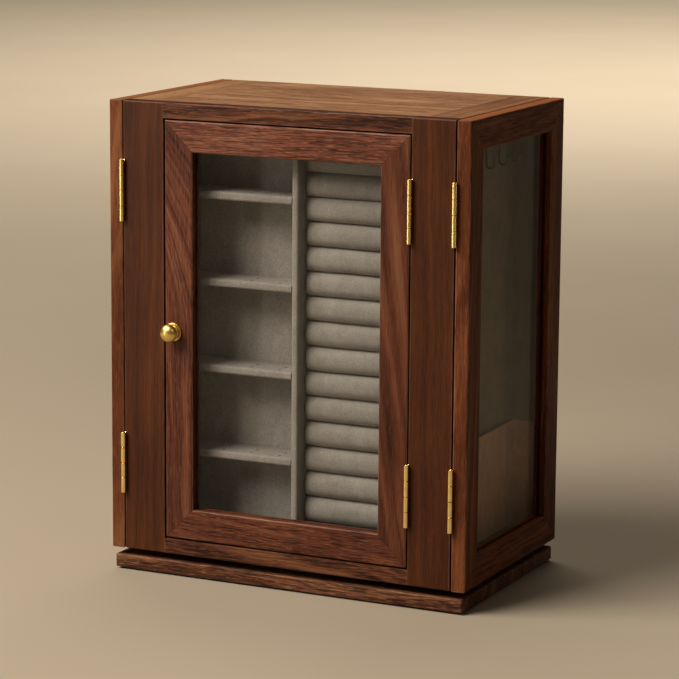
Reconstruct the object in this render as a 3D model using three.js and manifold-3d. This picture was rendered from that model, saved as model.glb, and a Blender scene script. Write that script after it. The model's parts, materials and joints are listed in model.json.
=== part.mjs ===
// A rotating jewelry box: a glazed walnut cabinet that turns on a low base.
// Millimetres, +Z up, +X to the right, -Y to the front.
// The origin is on the table, under the axis that the cabinet turns about.

import * as THREE from "three";
import { mergeVertices } from "three/addons/utils/BufferGeometryUtils.js";
import Module from "manifold-3d";

const wasm = await Module();
wasm.setup();

// Driving sizes of the carcass
const carcassWidth = 220;
const cabinetDepth = 144;
const cabinetHeight = 280;
const panelBoard = 9.5;
const faceBoard = 9;
const backBoard = 8;
const wallBoard = 12;
const stileWidth = 27.5;
const stopLip = 2.5;
const boardRound = 1;

// Driving sizes of the base and its bearing
const baseWidth = 236;
const baseDepth = 142.5;
const baseBoard = 8.4;
const baseCorner = 1.2;
const baseEase = 0.8;
const footHeight = 1.2;
const footRadius = 8;
const footInset = 16;
const footEase = 0.3;
const turntableGap = 4.6;
const bearingSquare = 101.6;
const bearingHeight = 8;
const bearingCorner = 8;
const bearingSheet = 1.2;
const bearingHole = 24;
const bearingPlay = 1.2;
const ballRadius = 2.5;
const ballCircle = 39.6;
const ridgeWidth = 1.2;
const ridgeHeight = 1.8;
const racePlay = 0.5;
const cageWidth = 3.4;
const cageSheet = 0.8;

// Driving sizes of the doors
const doorSeam = 1;
const doorBoard = 9;
const doorMember = 18.6;
const frontDoorGap = 1;
const frontDoorBoard = 8.6;
const frontDoorMember = 19;
const memberRound = 1.2;
const memberEase = 0.5;
const glassThickness = 2;
const glassPlay = 0.15;
const glassEdgePlay = 0.5;
const grooveDepth = 4;
const grooveBehind = 2.6;

// Driving sizes of the knob and its screw
const knobFromEdge = 5.7;
const knobRose = 5.7;
const knobRoseTop = 4.9;
const knobRoseStep = 0.8;
const knobRoseHeight = 1.3;
const knobNeck = 3.1;
const knobNeckHeight = 2;
const knobHead = 5.6;
const knobHeadHeight = 6.7;
const screwShank = 1.5;
const screwHead = 3;
const screwHeadFlat = 2.1;
const screwHeadRim = 0.9;
const screwHeadHeight = 1.8;
const screwReach = 4.2;
const screwPlay = 0.3;

// Driving sizes of the butt hinges and the magnets
const hingeLength = 38;
const hingeInset = 55;
const barrelRadius = 1.525;
const barrelStandoff = 1.8;
const pinRadius = 0.8;
const pinPlay = 0.3;
const knucklePlay = 0.3;
const leafThickness = 0.8;
const leafWidth = 7.5;
const leafGap = 0.3;
const mortisePlay = 0.2;
const magnetRadius = 2.5;
const magnetLength = 3;
const magnetPlay = 0.3;

// Driving sizes of the lined front compartment
const displayBoard = 4;
const displayDepth = 27;
const displaySetback = 4.5;
const dividerBoard = 4.5;
const shelfBoard = 5;
const shelfRound = 1.5;
const earringHole = 1.2;
const earringFrontRow = 5;
const earringRowPitch = 8;
const padDepth = 16;
const padPlay = 0.3;
const padGroove = 8;
const padEndDrop = 3.2;
const padEndLength = 6;
const padLift = 2.5;

// Driving sizes of the necklace compartments
const hookStripWidth = 5;
const hookStripSheet = 1.2;
const hookStripInset = 5.5;
const hookStripFromWall = 0.3;
const hookFromEnd = 8;
const hookDrop = 25.4;
const hookBend = 2.5;
const hookTip = 3;
const hookWire = 0.75;
const pocketHeight = 67;
const pocketBulge = 3;
const pocketCloth = 1;
const pocketHem = 6;
const pocketHemProud = 0.6;
const pocketPlay = 0.3;

// Counts
const ringRolls = 17;
const shelfCount = 4;
const earringsAcross = 4;
const hooksPerStrip = 6;
const knuckles = 4;
const balls = 12;
const roundSteps = 3;
const barrelSides = 16;
const ballSides = 8;
const ballRings = 6;
const holeSides = 10;
const ringSides = 32;
const wireSides = 6;
const bendSteps = 6;
const bowSteps = 12;
const padColumnShares = [0, 0.3, 0.7, 1];
const rollHeightShares = [0, 0.1, 0.26, 0.5, 0.74, 0.9];

// How full a roll's section is: 2 is an ellipse, and more is squarer
const rollFullness = 2.4;

// Where the dome of the knob's head starts, as a share of half a turn
const headStartShare = -0.33;

// Shares of the height that the lining encloses
const lowestShelfShare = 0.196;
const shelfPitchShare = 0.205;

// One overrun serves every cut
const overrun = 1;

// Planes of the carcass, in the cabinet's frame, whose zero is its underside
const carcassHalf = carcassWidth / 2;
const frontFace = -cabinetDepth / 2;
const backFace = cabinetDepth / 2;
const frontClear = frontFace + faceBoard;
const backClear = backFace - backBoard;
const openingHalf = carcassHalf - stileWidth;
const wallInner = openingHalf - stopLip;
const wallOuter = wallInner + wallBoard;
const floorLevel = panelBoard;
const ceilingLevel = cabinetHeight - panelBoard;
const clearHeight = ceilingLevel - floorLevel;
const middleHeight = cabinetHeight / 2;
const displayFront = frontClear + displayDepth;
const liningFront = frontClear + displaySetback;
const dividerHalf = dividerBoard / 2;
const baseTop = footHeight + baseBoard;
const cabinetUnderside = baseTop + turntableGap;
const bearingRecess = baseTop + bearingHeight - cabinetUnderside;

// Hinge axes, in front of the seams
const seamHalf = doorSeam / 2;
const sideAxis = carcassHalf + seamHalf;
const frontAxis = openingHalf - frontDoorGap / 2;
const axisDepth = frontFace - barrelStandoff;
const hingeLevels = [hingeInset, cabinetHeight - hingeInset];
const leafFace = leafGap / 2;
const leafBack = leafFace + leafThickness;

const walnut = { color: 0x5b2f1c, roughness: 0.45, metalness: 0 };
const redWalnut = { color: 0x73382a, roughness: 0.4, metalness: 0 };
const brass = { color: 0xd9b25a, roughness: 0.2, metalness: 1 };
const steel = { color: 0xb8bab8, roughness: 0.35, metalness: 1 };
const flock = { color: 0x8b8578, roughness: 0.95, metalness: 0 };
const rubber = { color: 0x2a2826, roughness: 0.85, metalness: 0 };
const glass = { color: 0xe8eeea, roughness: 0.03, metalness: 0, transparent: true, opacity: 0.25 };

const X = new THREE.Vector3(1, 0, 0);
const Y = new THREE.Vector3(0, 1, 0);
const Z = new THREE.Vector3(0, 0, 1);

function piece(name, geometry, finish) {
  const welded = weld(geometry);
  welded.computeVertexNormals();
  const mesh = new THREE.Mesh(welded, new THREE.MeshStandardMaterial(finish));
  mesh.name = name;
  return mesh;
}

// Merge shared vertices and drop the triangles that a pole squeezes to a line
function weld(geometry) {
  const bare = geometry.clone();
  for (const name of Object.keys(bare.attributes)) {
    if (name !== "position") bare.deleteAttribute(name);
  }
  const merged = mergeVertices(bare);
  const kept = [];
  const index = merged.index.array;
  for (let i = 0; i < index.length; i += 3) {
    const [a, b, c] = [index[i], index[i + 1], index[i + 2]];
    if (a !== b && b !== c && c !== a) kept.push(a, b, c);
  }
  merged.setIndex(kept);
  return merged;
}

function toSolid(geometry) {
  const welded = weld(geometry);
  const vertProperties = new Float32Array(welded.attributes.position.array);
  const triVerts = new Uint32Array(welded.index.array);
  return new wasm.Manifold(new wasm.Mesh({ numProp: 3, vertProperties, triVerts }));
}

function toGeometry(solid) {
  const mesh = solid.getMesh();
  const geometry = new THREE.BufferGeometry();
  geometry.setAttribute("position", new THREE.BufferAttribute(mesh.vertProperties, 3));
  geometry.setIndex(new THREE.BufferAttribute(mesh.triVerts, 1));
  return geometry;
}

function cut(geometry, cutters) {
  let solid = toSolid(geometry);
  for (const cutter of cutters) solid = solid.subtract(toSolid(cutter));
  return toGeometry(solid);
}

function join(geometries) {
  let solid = toSolid(geometries[0]);
  for (const geometry of geometries.slice(1)) solid = solid.add(toSolid(geometry));
  return toGeometry(solid);
}

// A box between two corners, with every vertex exactly on the planes given
function block(low, high) {
  const geometry = new THREE.BoxGeometry(1, 1, 1);
  const at = geometry.attributes.position;
  for (let i = 0; i < at.count; i++) {
    const x = at.getX(i) < 0 ? low[0] : high[0];
    const y = at.getY(i) < 0 ? low[1] : high[1];
    const z = at.getZ(i) < 0 ? low[2] : high[2];
    at.setXYZ(i, x, y, z);
  }
  return geometry;
}

// An outline extruded from one level to another along its own third axis
function prism(outline, low, high) {
  const options = { depth: 1, bevelEnabled: false, curveSegments: roundSteps };
  const geometry = new THREE.ExtrudeGeometry(outline, options);
  const at = geometry.attributes.position;
  for (let i = 0; i < at.count; i++) at.setZ(i, at.getZ(i) === 0 ? low : high);
  return geometry;
}

// Turn an outline drawn in Y and Z, with its extrusion, into place along X
function alongX(geometry) {
  return geometry.applyMatrix4(new THREE.Matrix4().makeBasis(Y, Z, X));
}

// Turn a form made along its own Z so that it points along a new axis
function pointing(geometry, axis) {
  const side = Math.abs(axis.z) === 1 ? X : Z;
  const third = new THREE.Vector3().crossVectors(axis, side);
  return geometry.applyMatrix4(new THREE.Matrix4().makeBasis(side, third, axis));
}

// A rectangle whose corners, from bottom left and counter-clockwise, have their own radii
function roundedRectangle([left, bottom], [right, top], [r1, r2, r3, r4]) {
  const outline = new THREE.Shape();
  outline.moveTo(left + r1, bottom);
  outline.lineTo(right - r2, bottom);
  if (r2 > 0) outline.absarc(right - r2, bottom + r2, r2, -Math.PI / 2, 0, false);
  outline.lineTo(right, top - r3);
  if (r3 > 0) outline.absarc(right - r3, top - r3, r3, 0, Math.PI / 2, false);
  outline.lineTo(left + r4, top);
  if (r4 > 0) outline.absarc(left + r4, top - r4, r4, Math.PI / 2, Math.PI, false);
  outline.lineTo(left, bottom + r1);
  if (r1 > 0) outline.absarc(left + r1, bottom + r1, r1, Math.PI, Math.PI * 1.5, false);
  return outline;
}

// A revolved form about Z, from a list of radius and level pairs
function turned(profile, sides) {
  const points = profile.map(([radius, level]) => new THREE.Vector2(radius, level));
  const geometry = new THREE.LatheGeometry(points, sides);
  return geometry.applyMatrix4(new THREE.Matrix4().makeBasis(Y, Z, X));
}

function cylinder(radius, low, high, sides) {
  return turned([[0, low], [radius, low], [radius, high], [0, high]], sides);
}

function ring(inner, outer, low, high) {
  return turned([[inner, low], [outer, low], [outer, high], [inner, high], [inner, low]], ringSides);
}

function placed(geometry, x, y, z) {
  return geometry.translate(x, y, z);
}

// The base plate, its feet and the lower half of the bearing
function base() {
  const group = new THREE.Group();
  const halfWidth = baseWidth / 2;
  const halfDepth = baseDepth / 2;
  group.add(piece("base_plate", easedPlate(halfWidth, halfDepth), walnut));
  const foot = turned([
    [0, 0],
    [footRadius - footEase, 0],
    [footRadius, footEase],
    [footRadius, footHeight],
    [0, footHeight],
  ], barrelSides);
  for (const [side, x] of [["left", -1], ["right", 1]]) {
    for (const [end, y] of [["front", -1], ["back", 1]]) {
      const mesh = piece(`${end}_${side}_foot`, foot, rubber);
      mesh.position.set(x * (halfWidth - footInset), y * (halfDepth - footInset), 0);
      group.add(mesh);
    }
  }
  const lower = placed(bearingPlate(), 0, 0, baseTop);
  group.add(piece("bearing_lower_plate", lower, steel));
  group.add(piece("bearing_ball_cage", ballCage(), steel));
  return group;
}

function easedPlate(halfWidth, halfDepth) {
  const x = halfWidth - baseEase;
  const y = halfDepth - baseEase;
  const radius = baseCorner - baseEase;
  const outline = roundedRectangle([-x, -y], [x, y], [radius, radius, radius, radius]);
  const geometry = new THREE.ExtrudeGeometry(outline, {
    depth: baseBoard - baseEase * 2,
    bevelSize: baseEase,
    bevelThickness: baseEase,
    bevelSegments: roundSteps - 1,
    curveSegments: roundSteps * 2,
  });
  return levelled(geometry, footHeight, baseTop);
}

// Stretch a geometry so that its ends lie exactly on two levels
function levelled(geometry, low, high) {
  geometry.computeBoundingBox();
  const { min, max } = geometry.boundingBox;
  const at = geometry.attributes.position;
  for (let i = 0; i < at.count; i++) {
    const share = (at.getZ(i) - min.z) / (max.z - min.z);
    at.setZ(i, low + share * (high - low));
  }
  return geometry;
}

// A pressed plate, with two ridges that keep the balls on their circle
function bearingPlate() {
  const half = bearingSquare / 2;
  const corner = bearingCorner;
  const outline = roundedRectangle([-half, -half], [half, half], [corner, corner, corner, corner]);
  const sheet = prism(outline, 0, bearingSheet);
  const hole = cylinder(bearingHole, -overrun, bearingSheet + overrun, ringSides);
  const inner = ballCircle - ballRadius - racePlay;
  const outer = ballCircle + ballRadius + racePlay;
  const top = bearingSheet + ridgeHeight;
  const root = bearingSheet / 2;
  const plate = cut(sheet, [hole]);
  const innerRidge = ring(inner - ridgeWidth, inner, root, top);
  const outerRidge = ring(outer, outer + ridgeWidth, root, top);
  return join([plate, innerRidge, outerRidge]);
}

function ballCage() {
  const level = baseTop + bearingHeight / 2;
  const half = cageSheet / 2;
  const inner = ballCircle - cageWidth / 2;
  const parts = [ring(inner, inner + cageWidth, level - half, level + half)];
  for (let i = 0; i < balls; i++) {
    const angle = (i / balls) * Math.PI * 2;
    const ball = new THREE.SphereGeometry(ballRadius, ballSides, ballRings);
    parts.push(placed(ball, ballCircle * Math.cos(angle), ballCircle * Math.sin(angle), level));
  }
  return join(parts);
}

// The fixed boards of the cabinet
function carcass() {
  const group = new THREE.Group();
  group.add(piece("bottom_panel", bottomPanel(), walnut));
  group.add(piece("top_panel", topPanel(), walnut));
  group.add(piece("back_panel", backPanel(), walnut));
  for (const [side, sign] of [["left", -1], ["right", 1]]) {
    group.add(piece(`${side}_stile`, stile(sign), walnut));
    group.add(piece(`${side}_inner_wall`, innerWall(sign), flock));
    group.add(sideMagnet(side, sign));
  }
  group.add(piece("top_rail", faceRail(ceilingLevel, cabinetHeight, true), walnut));
  group.add(piece("bottom_rail", faceRail(0, floorLevel, false), walnut));
  group.add(latchMagnet());
  return group;
}

function bottomPanel() {
  const half = bearingSquare / 2 + bearingPlay;
  const board = block([-carcassHalf, frontClear, 0], [carcassHalf, backClear, floorLevel]);
  return cut(board, [block([-half, -half, -overrun], [half, half, bearingRecess])]);
}

function topPanel() {
  const radii = [0, 0, boardRound, 0];
  const outline = roundedRectangle([frontClear, ceilingLevel], [backFace, cabinetHeight], radii);
  return alongX(prism(outline, -carcassHalf, carcassHalf));
}

function backPanel() {
  const outline = roundedRectangle([backClear, 0], [backFace, ceilingLevel], [0, boardRound, 0, 0]);
  const board = alongX(prism(outline, -carcassHalf, carcassHalf));
  return cut(board, [1, -1].map((sign) => magnetBore(X.clone().multiplyScalar(sign), magnetSeat(sign))));
}

function faceRail(low, high, atTop) {
  const radii = atTop ? [0, 0, 0, boardRound] : [boardRound, 0, 0, 0];
  const outline = roundedRectangle([frontFace, low], [frontClear, high], radii);
  return alongX(prism(outline, -openingHalf, openingHalf));
}

// A front stile, with mortises for the cabinet leaves of the hinges that it carries
function stile(sign) {
  const radii = [boardRound, 0, 0, boardRound];
  const outline = roundedRectangle([frontFace, 0], [frontClear, cabinetHeight], radii);
  const inside = Math.min(sign * openingHalf, sign * carcassHalf);
  const outside = Math.max(sign * openingHalf, sign * carcassHalf);
  const board = alongX(prism(outline, inside, outside));
  const mortises = hingeLevels.map((level) => mortise(sign * sideAxis, -sign, level));
  if (sign > 0) {
    for (const level of hingeLevels) mortises.push(mortise(frontAxis, 1, level));
    return cut(board, mortises);
  }
  return cut(board, [...mortises, magnetBore(X, latchSeat())]);
}

// The recess that lets one leaf into the wood beside the seam at x, on the side that sign gives
function mortise(x, sign, level) {
  const reach = axisDepth + barrelStandoff + leafWidth + mortisePlay;
  const half = hingeLength / 2 + mortisePlay;
  const floor = x + sign * leafBack;
  const mouth = x - sign * overrun;
  const low = [Math.min(floor, mouth), frontFace - overrun, level - half];
  const high = [Math.max(floor, mouth), reach, level + half];
  return block(low, high);
}

function innerWall(sign) {
  const inside = Math.min(sign * wallInner, sign * wallOuter);
  const outside = Math.max(sign * wallInner, sign * wallOuter);
  return block([inside, frontClear, floorLevel], [outside, backClear, ceilingLevel]);
}

// Magnets that hold the doors shut, let in flush
function magnetSeat(sign) {
  return new THREE.Vector3(sign * carcassHalf, backFace - backBoard / 2, middleHeight);
}

function latchSeat() {
  return new THREE.Vector3(-openingHalf, frontFace + faceBoard / 2, middleHeight);
}

function magnetBore(axis, seat) {
  const bore = cylinder(magnetRadius + magnetPlay, -magnetLength, overrun, barrelSides);
  return placed(pointing(bore, axis), seat.x, seat.y, seat.z);
}

function magnet(name, axis, seat) {
  const mesh = piece(name, pointing(cylinder(magnetRadius, -magnetLength, 0, barrelSides), axis), steel);
  mesh.position.copy(seat);
  return mesh;
}

function sideMagnet(side, sign) {
  return magnet(`${side}_door_magnet`, X.clone().multiplyScalar(sign), magnetSeat(sign));
}

function latchMagnet() {
  return magnet("front_door_magnet", X, latchSeat());
}

// The lined front compartment: back, divider, earring shelves and ring rolls
function frontCompartment() {
  const group = new THREE.Group();
  const rear = displayFront + displayBoard;
  const back = block([-wallInner, displayFront, floorLevel], [wallInner, rear, ceilingLevel]);
  group.add(piece("display_back", back, flock));
  group.add(piece("divider", divider(), flock));
  for (let i = 0; i < shelfCount; i++) {
    group.add(piece(`earring_shelf_${i + 1}`, earringShelf(i), flock));
  }
  group.add(piece("ring_roll_pad", ringRollPad(), flock));
  return group;
}

function divider() {
  const radii = [shelfRound, shelfRound, 0, 0];
  const outline = roundedRectangle([-dividerHalf, liningFront], [dividerHalf, displayFront], radii);
  return prism(outline, floorLevel, ceilingLevel);
}

// A shelf with a front and a back row of holes that earrings hang through
function earringShelf(i) {
  const underside = floorLevel + clearHeight * (lowestShelfShare + shelfPitchShare * i);
  const top = underside + shelfBoard;
  const radii = [shelfRound, 0, 0, shelfRound];
  const outline = roundedRectangle([liningFront, underside], [displayFront, top], radii);
  const board = alongX(prism(outline, -wallInner, -dividerHalf));
  const pitch = (wallInner - dividerHalf) / earringsAcross;
  const holes = [];
  for (let row = 0; row < 2; row++) {
    for (let column = 0; column < earringsAcross; column++) {
      const hole = cylinder(earringHole, underside - overrun, top + overrun, holeSides);
      const x = -wallInner + pitch / 2 + pitch * column;
      holes.push(placed(hole, x, liningFront + earringFrontRow + earringRowPitch * row, 0));
    }
  }
  return cut(board, holes);
}

// One padded board of rolls with tight channels between them, drawn in at both ends
function ringRollPad() {
  const left = dividerHalf + padPlay;
  const right = wallInner - padPlay;
  const high = ceilingLevel - padPlay;
  const rows = [];
  for (let roll = 0; roll < ringRolls; roll++) {
    for (const share of rollHeightShares) rows.push({ level: rollLevel(roll + share, high), share });
  }
  rows.push({ level: high, share: 0 });
  return paddedSheet(padColumns(left, right), rows, displayFront);
}

// The level that many rolls up; the middle rolls sit higher than an even spacing would put them
function rollLevel(rolls, high) {
  const share = rolls / ringRolls;
  return floorLevel + (high - floorLevel) * share + padLift * Math.sin(Math.PI * share);
}

// Each column is a place across the pad and how far its roll is drawn in there
function padColumns(left, right) {
  const ends = padColumnShares.map((share) => ({
    place: padEndLength * share,
    drop: padEndDrop * (1 - Math.sin((share * Math.PI) / 2)),
  }));
  const near = ends.map(({ place, drop }) => ({ x: left + place, drop }));
  const far = ends.map(({ place, drop }) => ({ x: right - place, drop }));
  return [...near, ...far.reverse()];
}

function rollDepth(share, drop) {
  const offset = Math.abs(share * 2 - 1);
  const crown = Math.pow(1 - Math.pow(offset, rollFullness), 1 / rollFullness);
  return padDepth - padGroove + (padGroove - drop) * crown;
}

// A closed body from a grid of front points over a flat back
function paddedSheet(columns, rows, back) {
  const positions = [];
  for (const { level, share } of rows) {
    for (const { x, drop } of columns) positions.push(x, back - rollDepth(share, drop), level);
    for (const { x } of [columns[0], columns[columns.length - 1]]) positions.push(x, back, level);
  }
  const count = columns.length;
  const stride = count + 2;
  const loop = [count, ...Array(count).keys(), count + 1];
  const index = [];
  for (let row = 0; row + 1 < rows.length; row++) {
    loop.forEach((column, i) => {
      const next = loop[(i + 1) % stride];
      const [a, b] = [row * stride + column, row * stride + next];
      index.push(a, b, b + stride, a, b + stride, a + stride);
    });
  }
  const last = (rows.length - 1) * stride;
  for (let i = 1; i + 1 < stride; i++) {
    index.push(loop[0], loop[i + 1], loop[i]);
    index.push(last + loop[0], last + loop[i], last + loop[i + 1]);
  }
  const geometry = new THREE.BufferGeometry();
  geometry.setAttribute("position", new THREE.Float32BufferAttribute(positions, 3));
  geometry.setIndex(index);
  return geometry;
}

// A necklace compartment behind each side door: hooks above, a cloth pocket below
function necklaceCompartment(side, sign) {
  const group = new THREE.Group();
  group.position.y = (frontClear + backClear) / 2;
  group.add(piece(`${side}_hook_strip`, facing(hookStrip(), sign), brass));
  group.add(piece(`${side}_pocket`, facing(pocket(), sign), flock));
  return group;
}

// What is made for the right-hand side is turned half round for the left
function facing(geometry, sign) {
  if (sign > 0) return geometry;
  return geometry.applyMatrix4(new THREE.Matrix4().makeBasis(X.clone().negate(), Y.clone().negate(), Z));
}

function hookStrip() {
  const inside = wallOuter + hookStripFromWall;
  const low = ceilingLevel - hookStripSheet;
  const half = (backClear - frontClear) / 2 - hookStripInset;
  const strip = block([inside, -half, low], [inside + hookStripWidth, half, ceilingLevel]);
  const parts = [strip];
  const first = hookFromEnd - half;
  const pitch = (-first * 2) / (hooksPerStrip - 1);
  for (let i = 0; i < hooksPerStrip; i++) {
    parts.push(hook(inside + hookStripWidth / 2, first + pitch * i, low + hookStripSheet / 2));
  }
  return join(parts);
}

// A wire that drops from the strip, bends out towards the door and ends in an upturned tip
function hook(x, y, top) {
  const bottom = top - hookDrop;
  const bend = [];
  for (let i = 0; i <= bendSteps; i++) {
    const angle = Math.PI + (i / bendSteps) * Math.PI;
    bend.push([x + hookBend + hookBend * Math.cos(angle), bottom + hookBend * Math.sin(angle)]);
  }
  bend.push([x + hookBend * 2, bottom + hookTip]);
  return wire([[x, top], ...bend], y);
}

// A round wire through points in one XZ plane, mitred at each point
function wire(points, y) {
  const rings = points.map(([px, pz], i) => {
    const before = points[Math.max(i - 1, 0)];
    const after = points[Math.min(i + 1, points.length - 1)];
    const along = new THREE.Vector2(after[0] - before[0], after[1] - before[1]).normalize();
    const ringPoints = [];
    for (let k = 0; k < wireSides; k++) {
      const angle = (k / wireSides) * Math.PI * 2;
      const across = hookWire * Math.cos(angle);
      ringPoints.push([px + along.y * across, y + hookWire * Math.sin(angle), pz - along.x * across]);
    }
    return ringPoints;
  });
  return skin(rings);
}

// A closed body through rings of equal count
function skin(rings) {
  const sides = rings[0].length;
  const positions = rings.flat(2);
  const index = [];
  for (let r = 0; r + 1 < rings.length; r++) {
    for (let k = 0; k < sides; k++) {
      const [a, b] = [r * sides + k, r * sides + ((k + 1) % sides)];
      index.push(a, b, b + sides, a, b + sides, a + sides);
    }
  }
  const last = (rings.length - 1) * sides;
  for (let k = 1; k + 1 < sides; k++) {
    index.push(0, k + 1, k);
    index.push(last, last + k, last + k + 1);
  }
  const geometry = new THREE.BufferGeometry();
  geometry.setAttribute("position", new THREE.Float32BufferAttribute(positions, 3));
  geometry.setIndex(index);
  return geometry;
}

// A bowed cloth panel with a hem and a floor, open above, fixed to the wall at both ends
function pocket() {
  const wall = wallOuter + pocketPlay;
  const low = floorLevel + pocketPlay;
  const high = low + pocketHeight;
  const half = (backClear - frontClear) / 2 - pocketPlay;
  const sheet = bow(wall, half, pocketBulge, pocketCloth);
  const hem = bow(wall, half, pocketBulge + pocketHemProud, pocketCloth + pocketHemProud * 2);
  const floor = bow(wall, half, pocketBulge, pocketBulge);
  return join([
    prism(sheet, low, high),
    prism(floor, low, low + pocketCloth),
    prism(hem, high - pocketHem, high),
  ]);
}

// The plan of cloth bowed out from a wall; cloth as thick as the bulge fills it
function bow(wall, half, bulge, cloth) {
  const radius = (half * half + bulge * bulge) / (bulge * 2);
  const centre = wall + bulge - radius;
  const inner = radius - cloth;
  const sweep = Math.asin(half / radius);
  const points = arcPoints(centre, radius, -sweep, sweep);
  if (cloth < bulge) {
    const innerSweep = Math.acos((wall - centre) / inner);
    points.push(...arcPoints(centre, inner, innerSweep, -innerSweep));
  }
  return new THREE.Shape(points);
}

function arcPoints(centre, radius, from, to) {
  return Array.from({ length: bowSteps + 1 }, (_, i) => {
    const angle = from + (i / bowSteps) * (to - from);
    return new THREE.Vector2(centre + radius * Math.cos(angle), radius * Math.sin(angle));
  });
}

// The section of a door member: across from its outer edge, out from its back
function memberProfile(width, board) {
  const profile = new THREE.Shape();
  const groove = grooveBehind + glassThickness + glassPlay * 2;
  profile.moveTo(memberEase, 0);
  profile.lineTo(width - memberEase, 0);
  profile.lineTo(width, memberEase);
  profile.lineTo(width, grooveBehind);
  profile.lineTo(width - grooveDepth, grooveBehind);
  profile.lineTo(width - grooveDepth, groove);
  profile.lineTo(width, groove);
  profile.lineTo(width, board - memberRound);
  profile.absarc(width - memberRound, board - memberRound, memberRound, 0, Math.PI / 2, false);
  profile.lineTo(memberRound, board);
  profile.absarc(memberRound, board - memberRound, memberRound, Math.PI / 2, Math.PI, false);
  profile.lineTo(0, memberEase);
  return profile;
}

// A member of that section, mitred at both ends, from the corner where its outer edge starts
function mitredMember(profile, length, inward, outward, start) {
  const geometry = prism(profile, 0, 1);
  const along = new THREE.Vector3().crossVectors(inward, outward);
  const at = geometry.attributes.position;
  for (let i = 0; i < at.count; i++) {
    const across = at.getX(i);
    const run = at.getZ(i) === 0 ? across : length - across;
    const point = start.clone().addScaledVector(inward, across);
    point.addScaledVector(outward, at.getY(i)).addScaledVector(along, run);
    at.setXYZ(i, point.x, point.y, point.z);
  }
  return geometry;
}

// The four members of a door seen from outside: bottom, right, top and left of its outer rectangle
function doorFrame(profile, corner, width, height, outward) {
  const right = new THREE.Vector3().crossVectors(Z, outward);
  const left = right.clone().negate();
  const down = Z.clone().negate();
  const farBottom = corner.clone().addScaledVector(right, width);
  const farTop = farBottom.clone().addScaledVector(Z, height);
  const nearTop = corner.clone().addScaledVector(Z, height);
  return {
    bottom: mitredMember(profile, width, Z, outward, corner),
    right: mitredMember(profile, height, left, outward, farBottom),
    top: mitredMember(profile, width, down, outward, farTop),
    left: mitredMember(profile, height, right, outward, nearTop),
  };
}

// The pane stands in the groove of all four members
function paneLimits(member, width, height) {
  const inset = member - grooveDepth + glassEdgePlay;
  return { low: inset, wide: width - inset, high: height - inset };
}

// The mortises in a door, in the frame of the hinge axis at x that the door is built about
function doorMortises(x, sign) {
  return hingeLevels.map((level) => placed(mortise(x, sign, level), -x, -axisDepth, 0));
}

// The inset front door, built about its hinge axis
function frontDoor() {
  const group = new THREE.Group();
  group.position.set(frontAxis, axisDepth, 0);
  const width = openingHalf * 2 - frontDoorGap * 2;
  const height = clearHeight - frontDoorGap * 2;
  const hingeEdge = -frontDoorGap / 2;
  const back = barrelStandoff + frontDoorBoard;
  const corner = new THREE.Vector3(hingeEdge - width, back, floorLevel + frontDoorGap);
  const front = Y.clone().negate();
  const frame = doorFrame(memberProfile(frontDoorMember, frontDoorBoard), corner, width, height, front);
  const mortises = doorMortises(frontAxis, -1);
  const knobAt = new THREE.Vector3(corner.x + knobFromEdge, barrelStandoff, middleHeight);
  group.add(piece("front_door_bottom_rail", frame.bottom, redWalnut));
  group.add(piece("front_door_hinge_stile", cut(frame.right, mortises), redWalnut));
  group.add(piece("front_door_top_rail", frame.top, redWalnut));
  group.add(piece("front_door_knob_stile", cut(frame.left, [screwHole(knobAt, back)]), redWalnut));
  const pane = paneLimits(frontDoorMember, width, height);
  const glassBack = back - grooveBehind - glassPlay;
  const low = [corner.x + pane.low, glassBack - glassThickness, corner.z + pane.low];
  const high = [corner.x + pane.wide, glassBack, corner.z + pane.high];
  group.add(piece("front_door_glass", block(low, high), glass));
  addKnob(group, knobAt, back);
  addDoorLeaves(group, "front", -1);
  return group;
}

function screwHole(knobAt, back) {
  const hole = cylinder(screwShank + screwPlay, knobAt.y - overrun, back + overrun, holeSides);
  return placed(pointing(hole, Y), knobAt.x, 0, knobAt.z);
}

// A turned knob with a rose, a neck and a domed head, held by a screw from inside
function addKnob(group, knobAt, back) {
  const neckTop = knobRoseHeight + knobNeckHeight;
  const head = knobHeadHeight / 2;
  const profile = [[screwShank + screwPlay, 0], [knobRose, 0], [knobRose, knobRoseStep]];
  profile.push([knobRoseTop, knobRoseHeight], [knobNeck, knobRoseHeight], [knobNeck, neckTop]);
  const steps = roundSteps * 3;
  const start = Math.PI * headStartShare;
  for (let i = 0; i < steps; i++) {
    const angle = start + (i / steps) * (Math.PI / 2 - start);
    profile.push([knobHead * Math.cos(angle), neckTop + head + head * Math.sin(angle)]);
  }
  profile.push([0, neckTop + knobHeadHeight]);
  const boreEnd = screwReach + screwPlay;
  profile.push([0, boreEnd], [screwShank + screwPlay, boreEnd], [screwShank + screwPlay, 0]);
  const knob = piece("front_door_knob", pointing(turned(profile, ringSides), Y.clone().negate()), brass);
  knob.position.copy(knobAt);
  group.add(knob);
  const length = back - knobAt.y + screwReach;
  const screw = turned([
    [0, -length],
    [screwShank, -length],
    [screwShank, 0],
    [screwHead, 0],
    [screwHead, screwHeadRim],
    [screwHeadFlat, screwHeadHeight],
    [0, screwHeadHeight],
  ], holeSides);
  const mesh = piece("knob_screw", pointing(screw, Y), steel);
  mesh.position.set(knobAt.x, back, knobAt.z);
  group.add(mesh);
}

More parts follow.
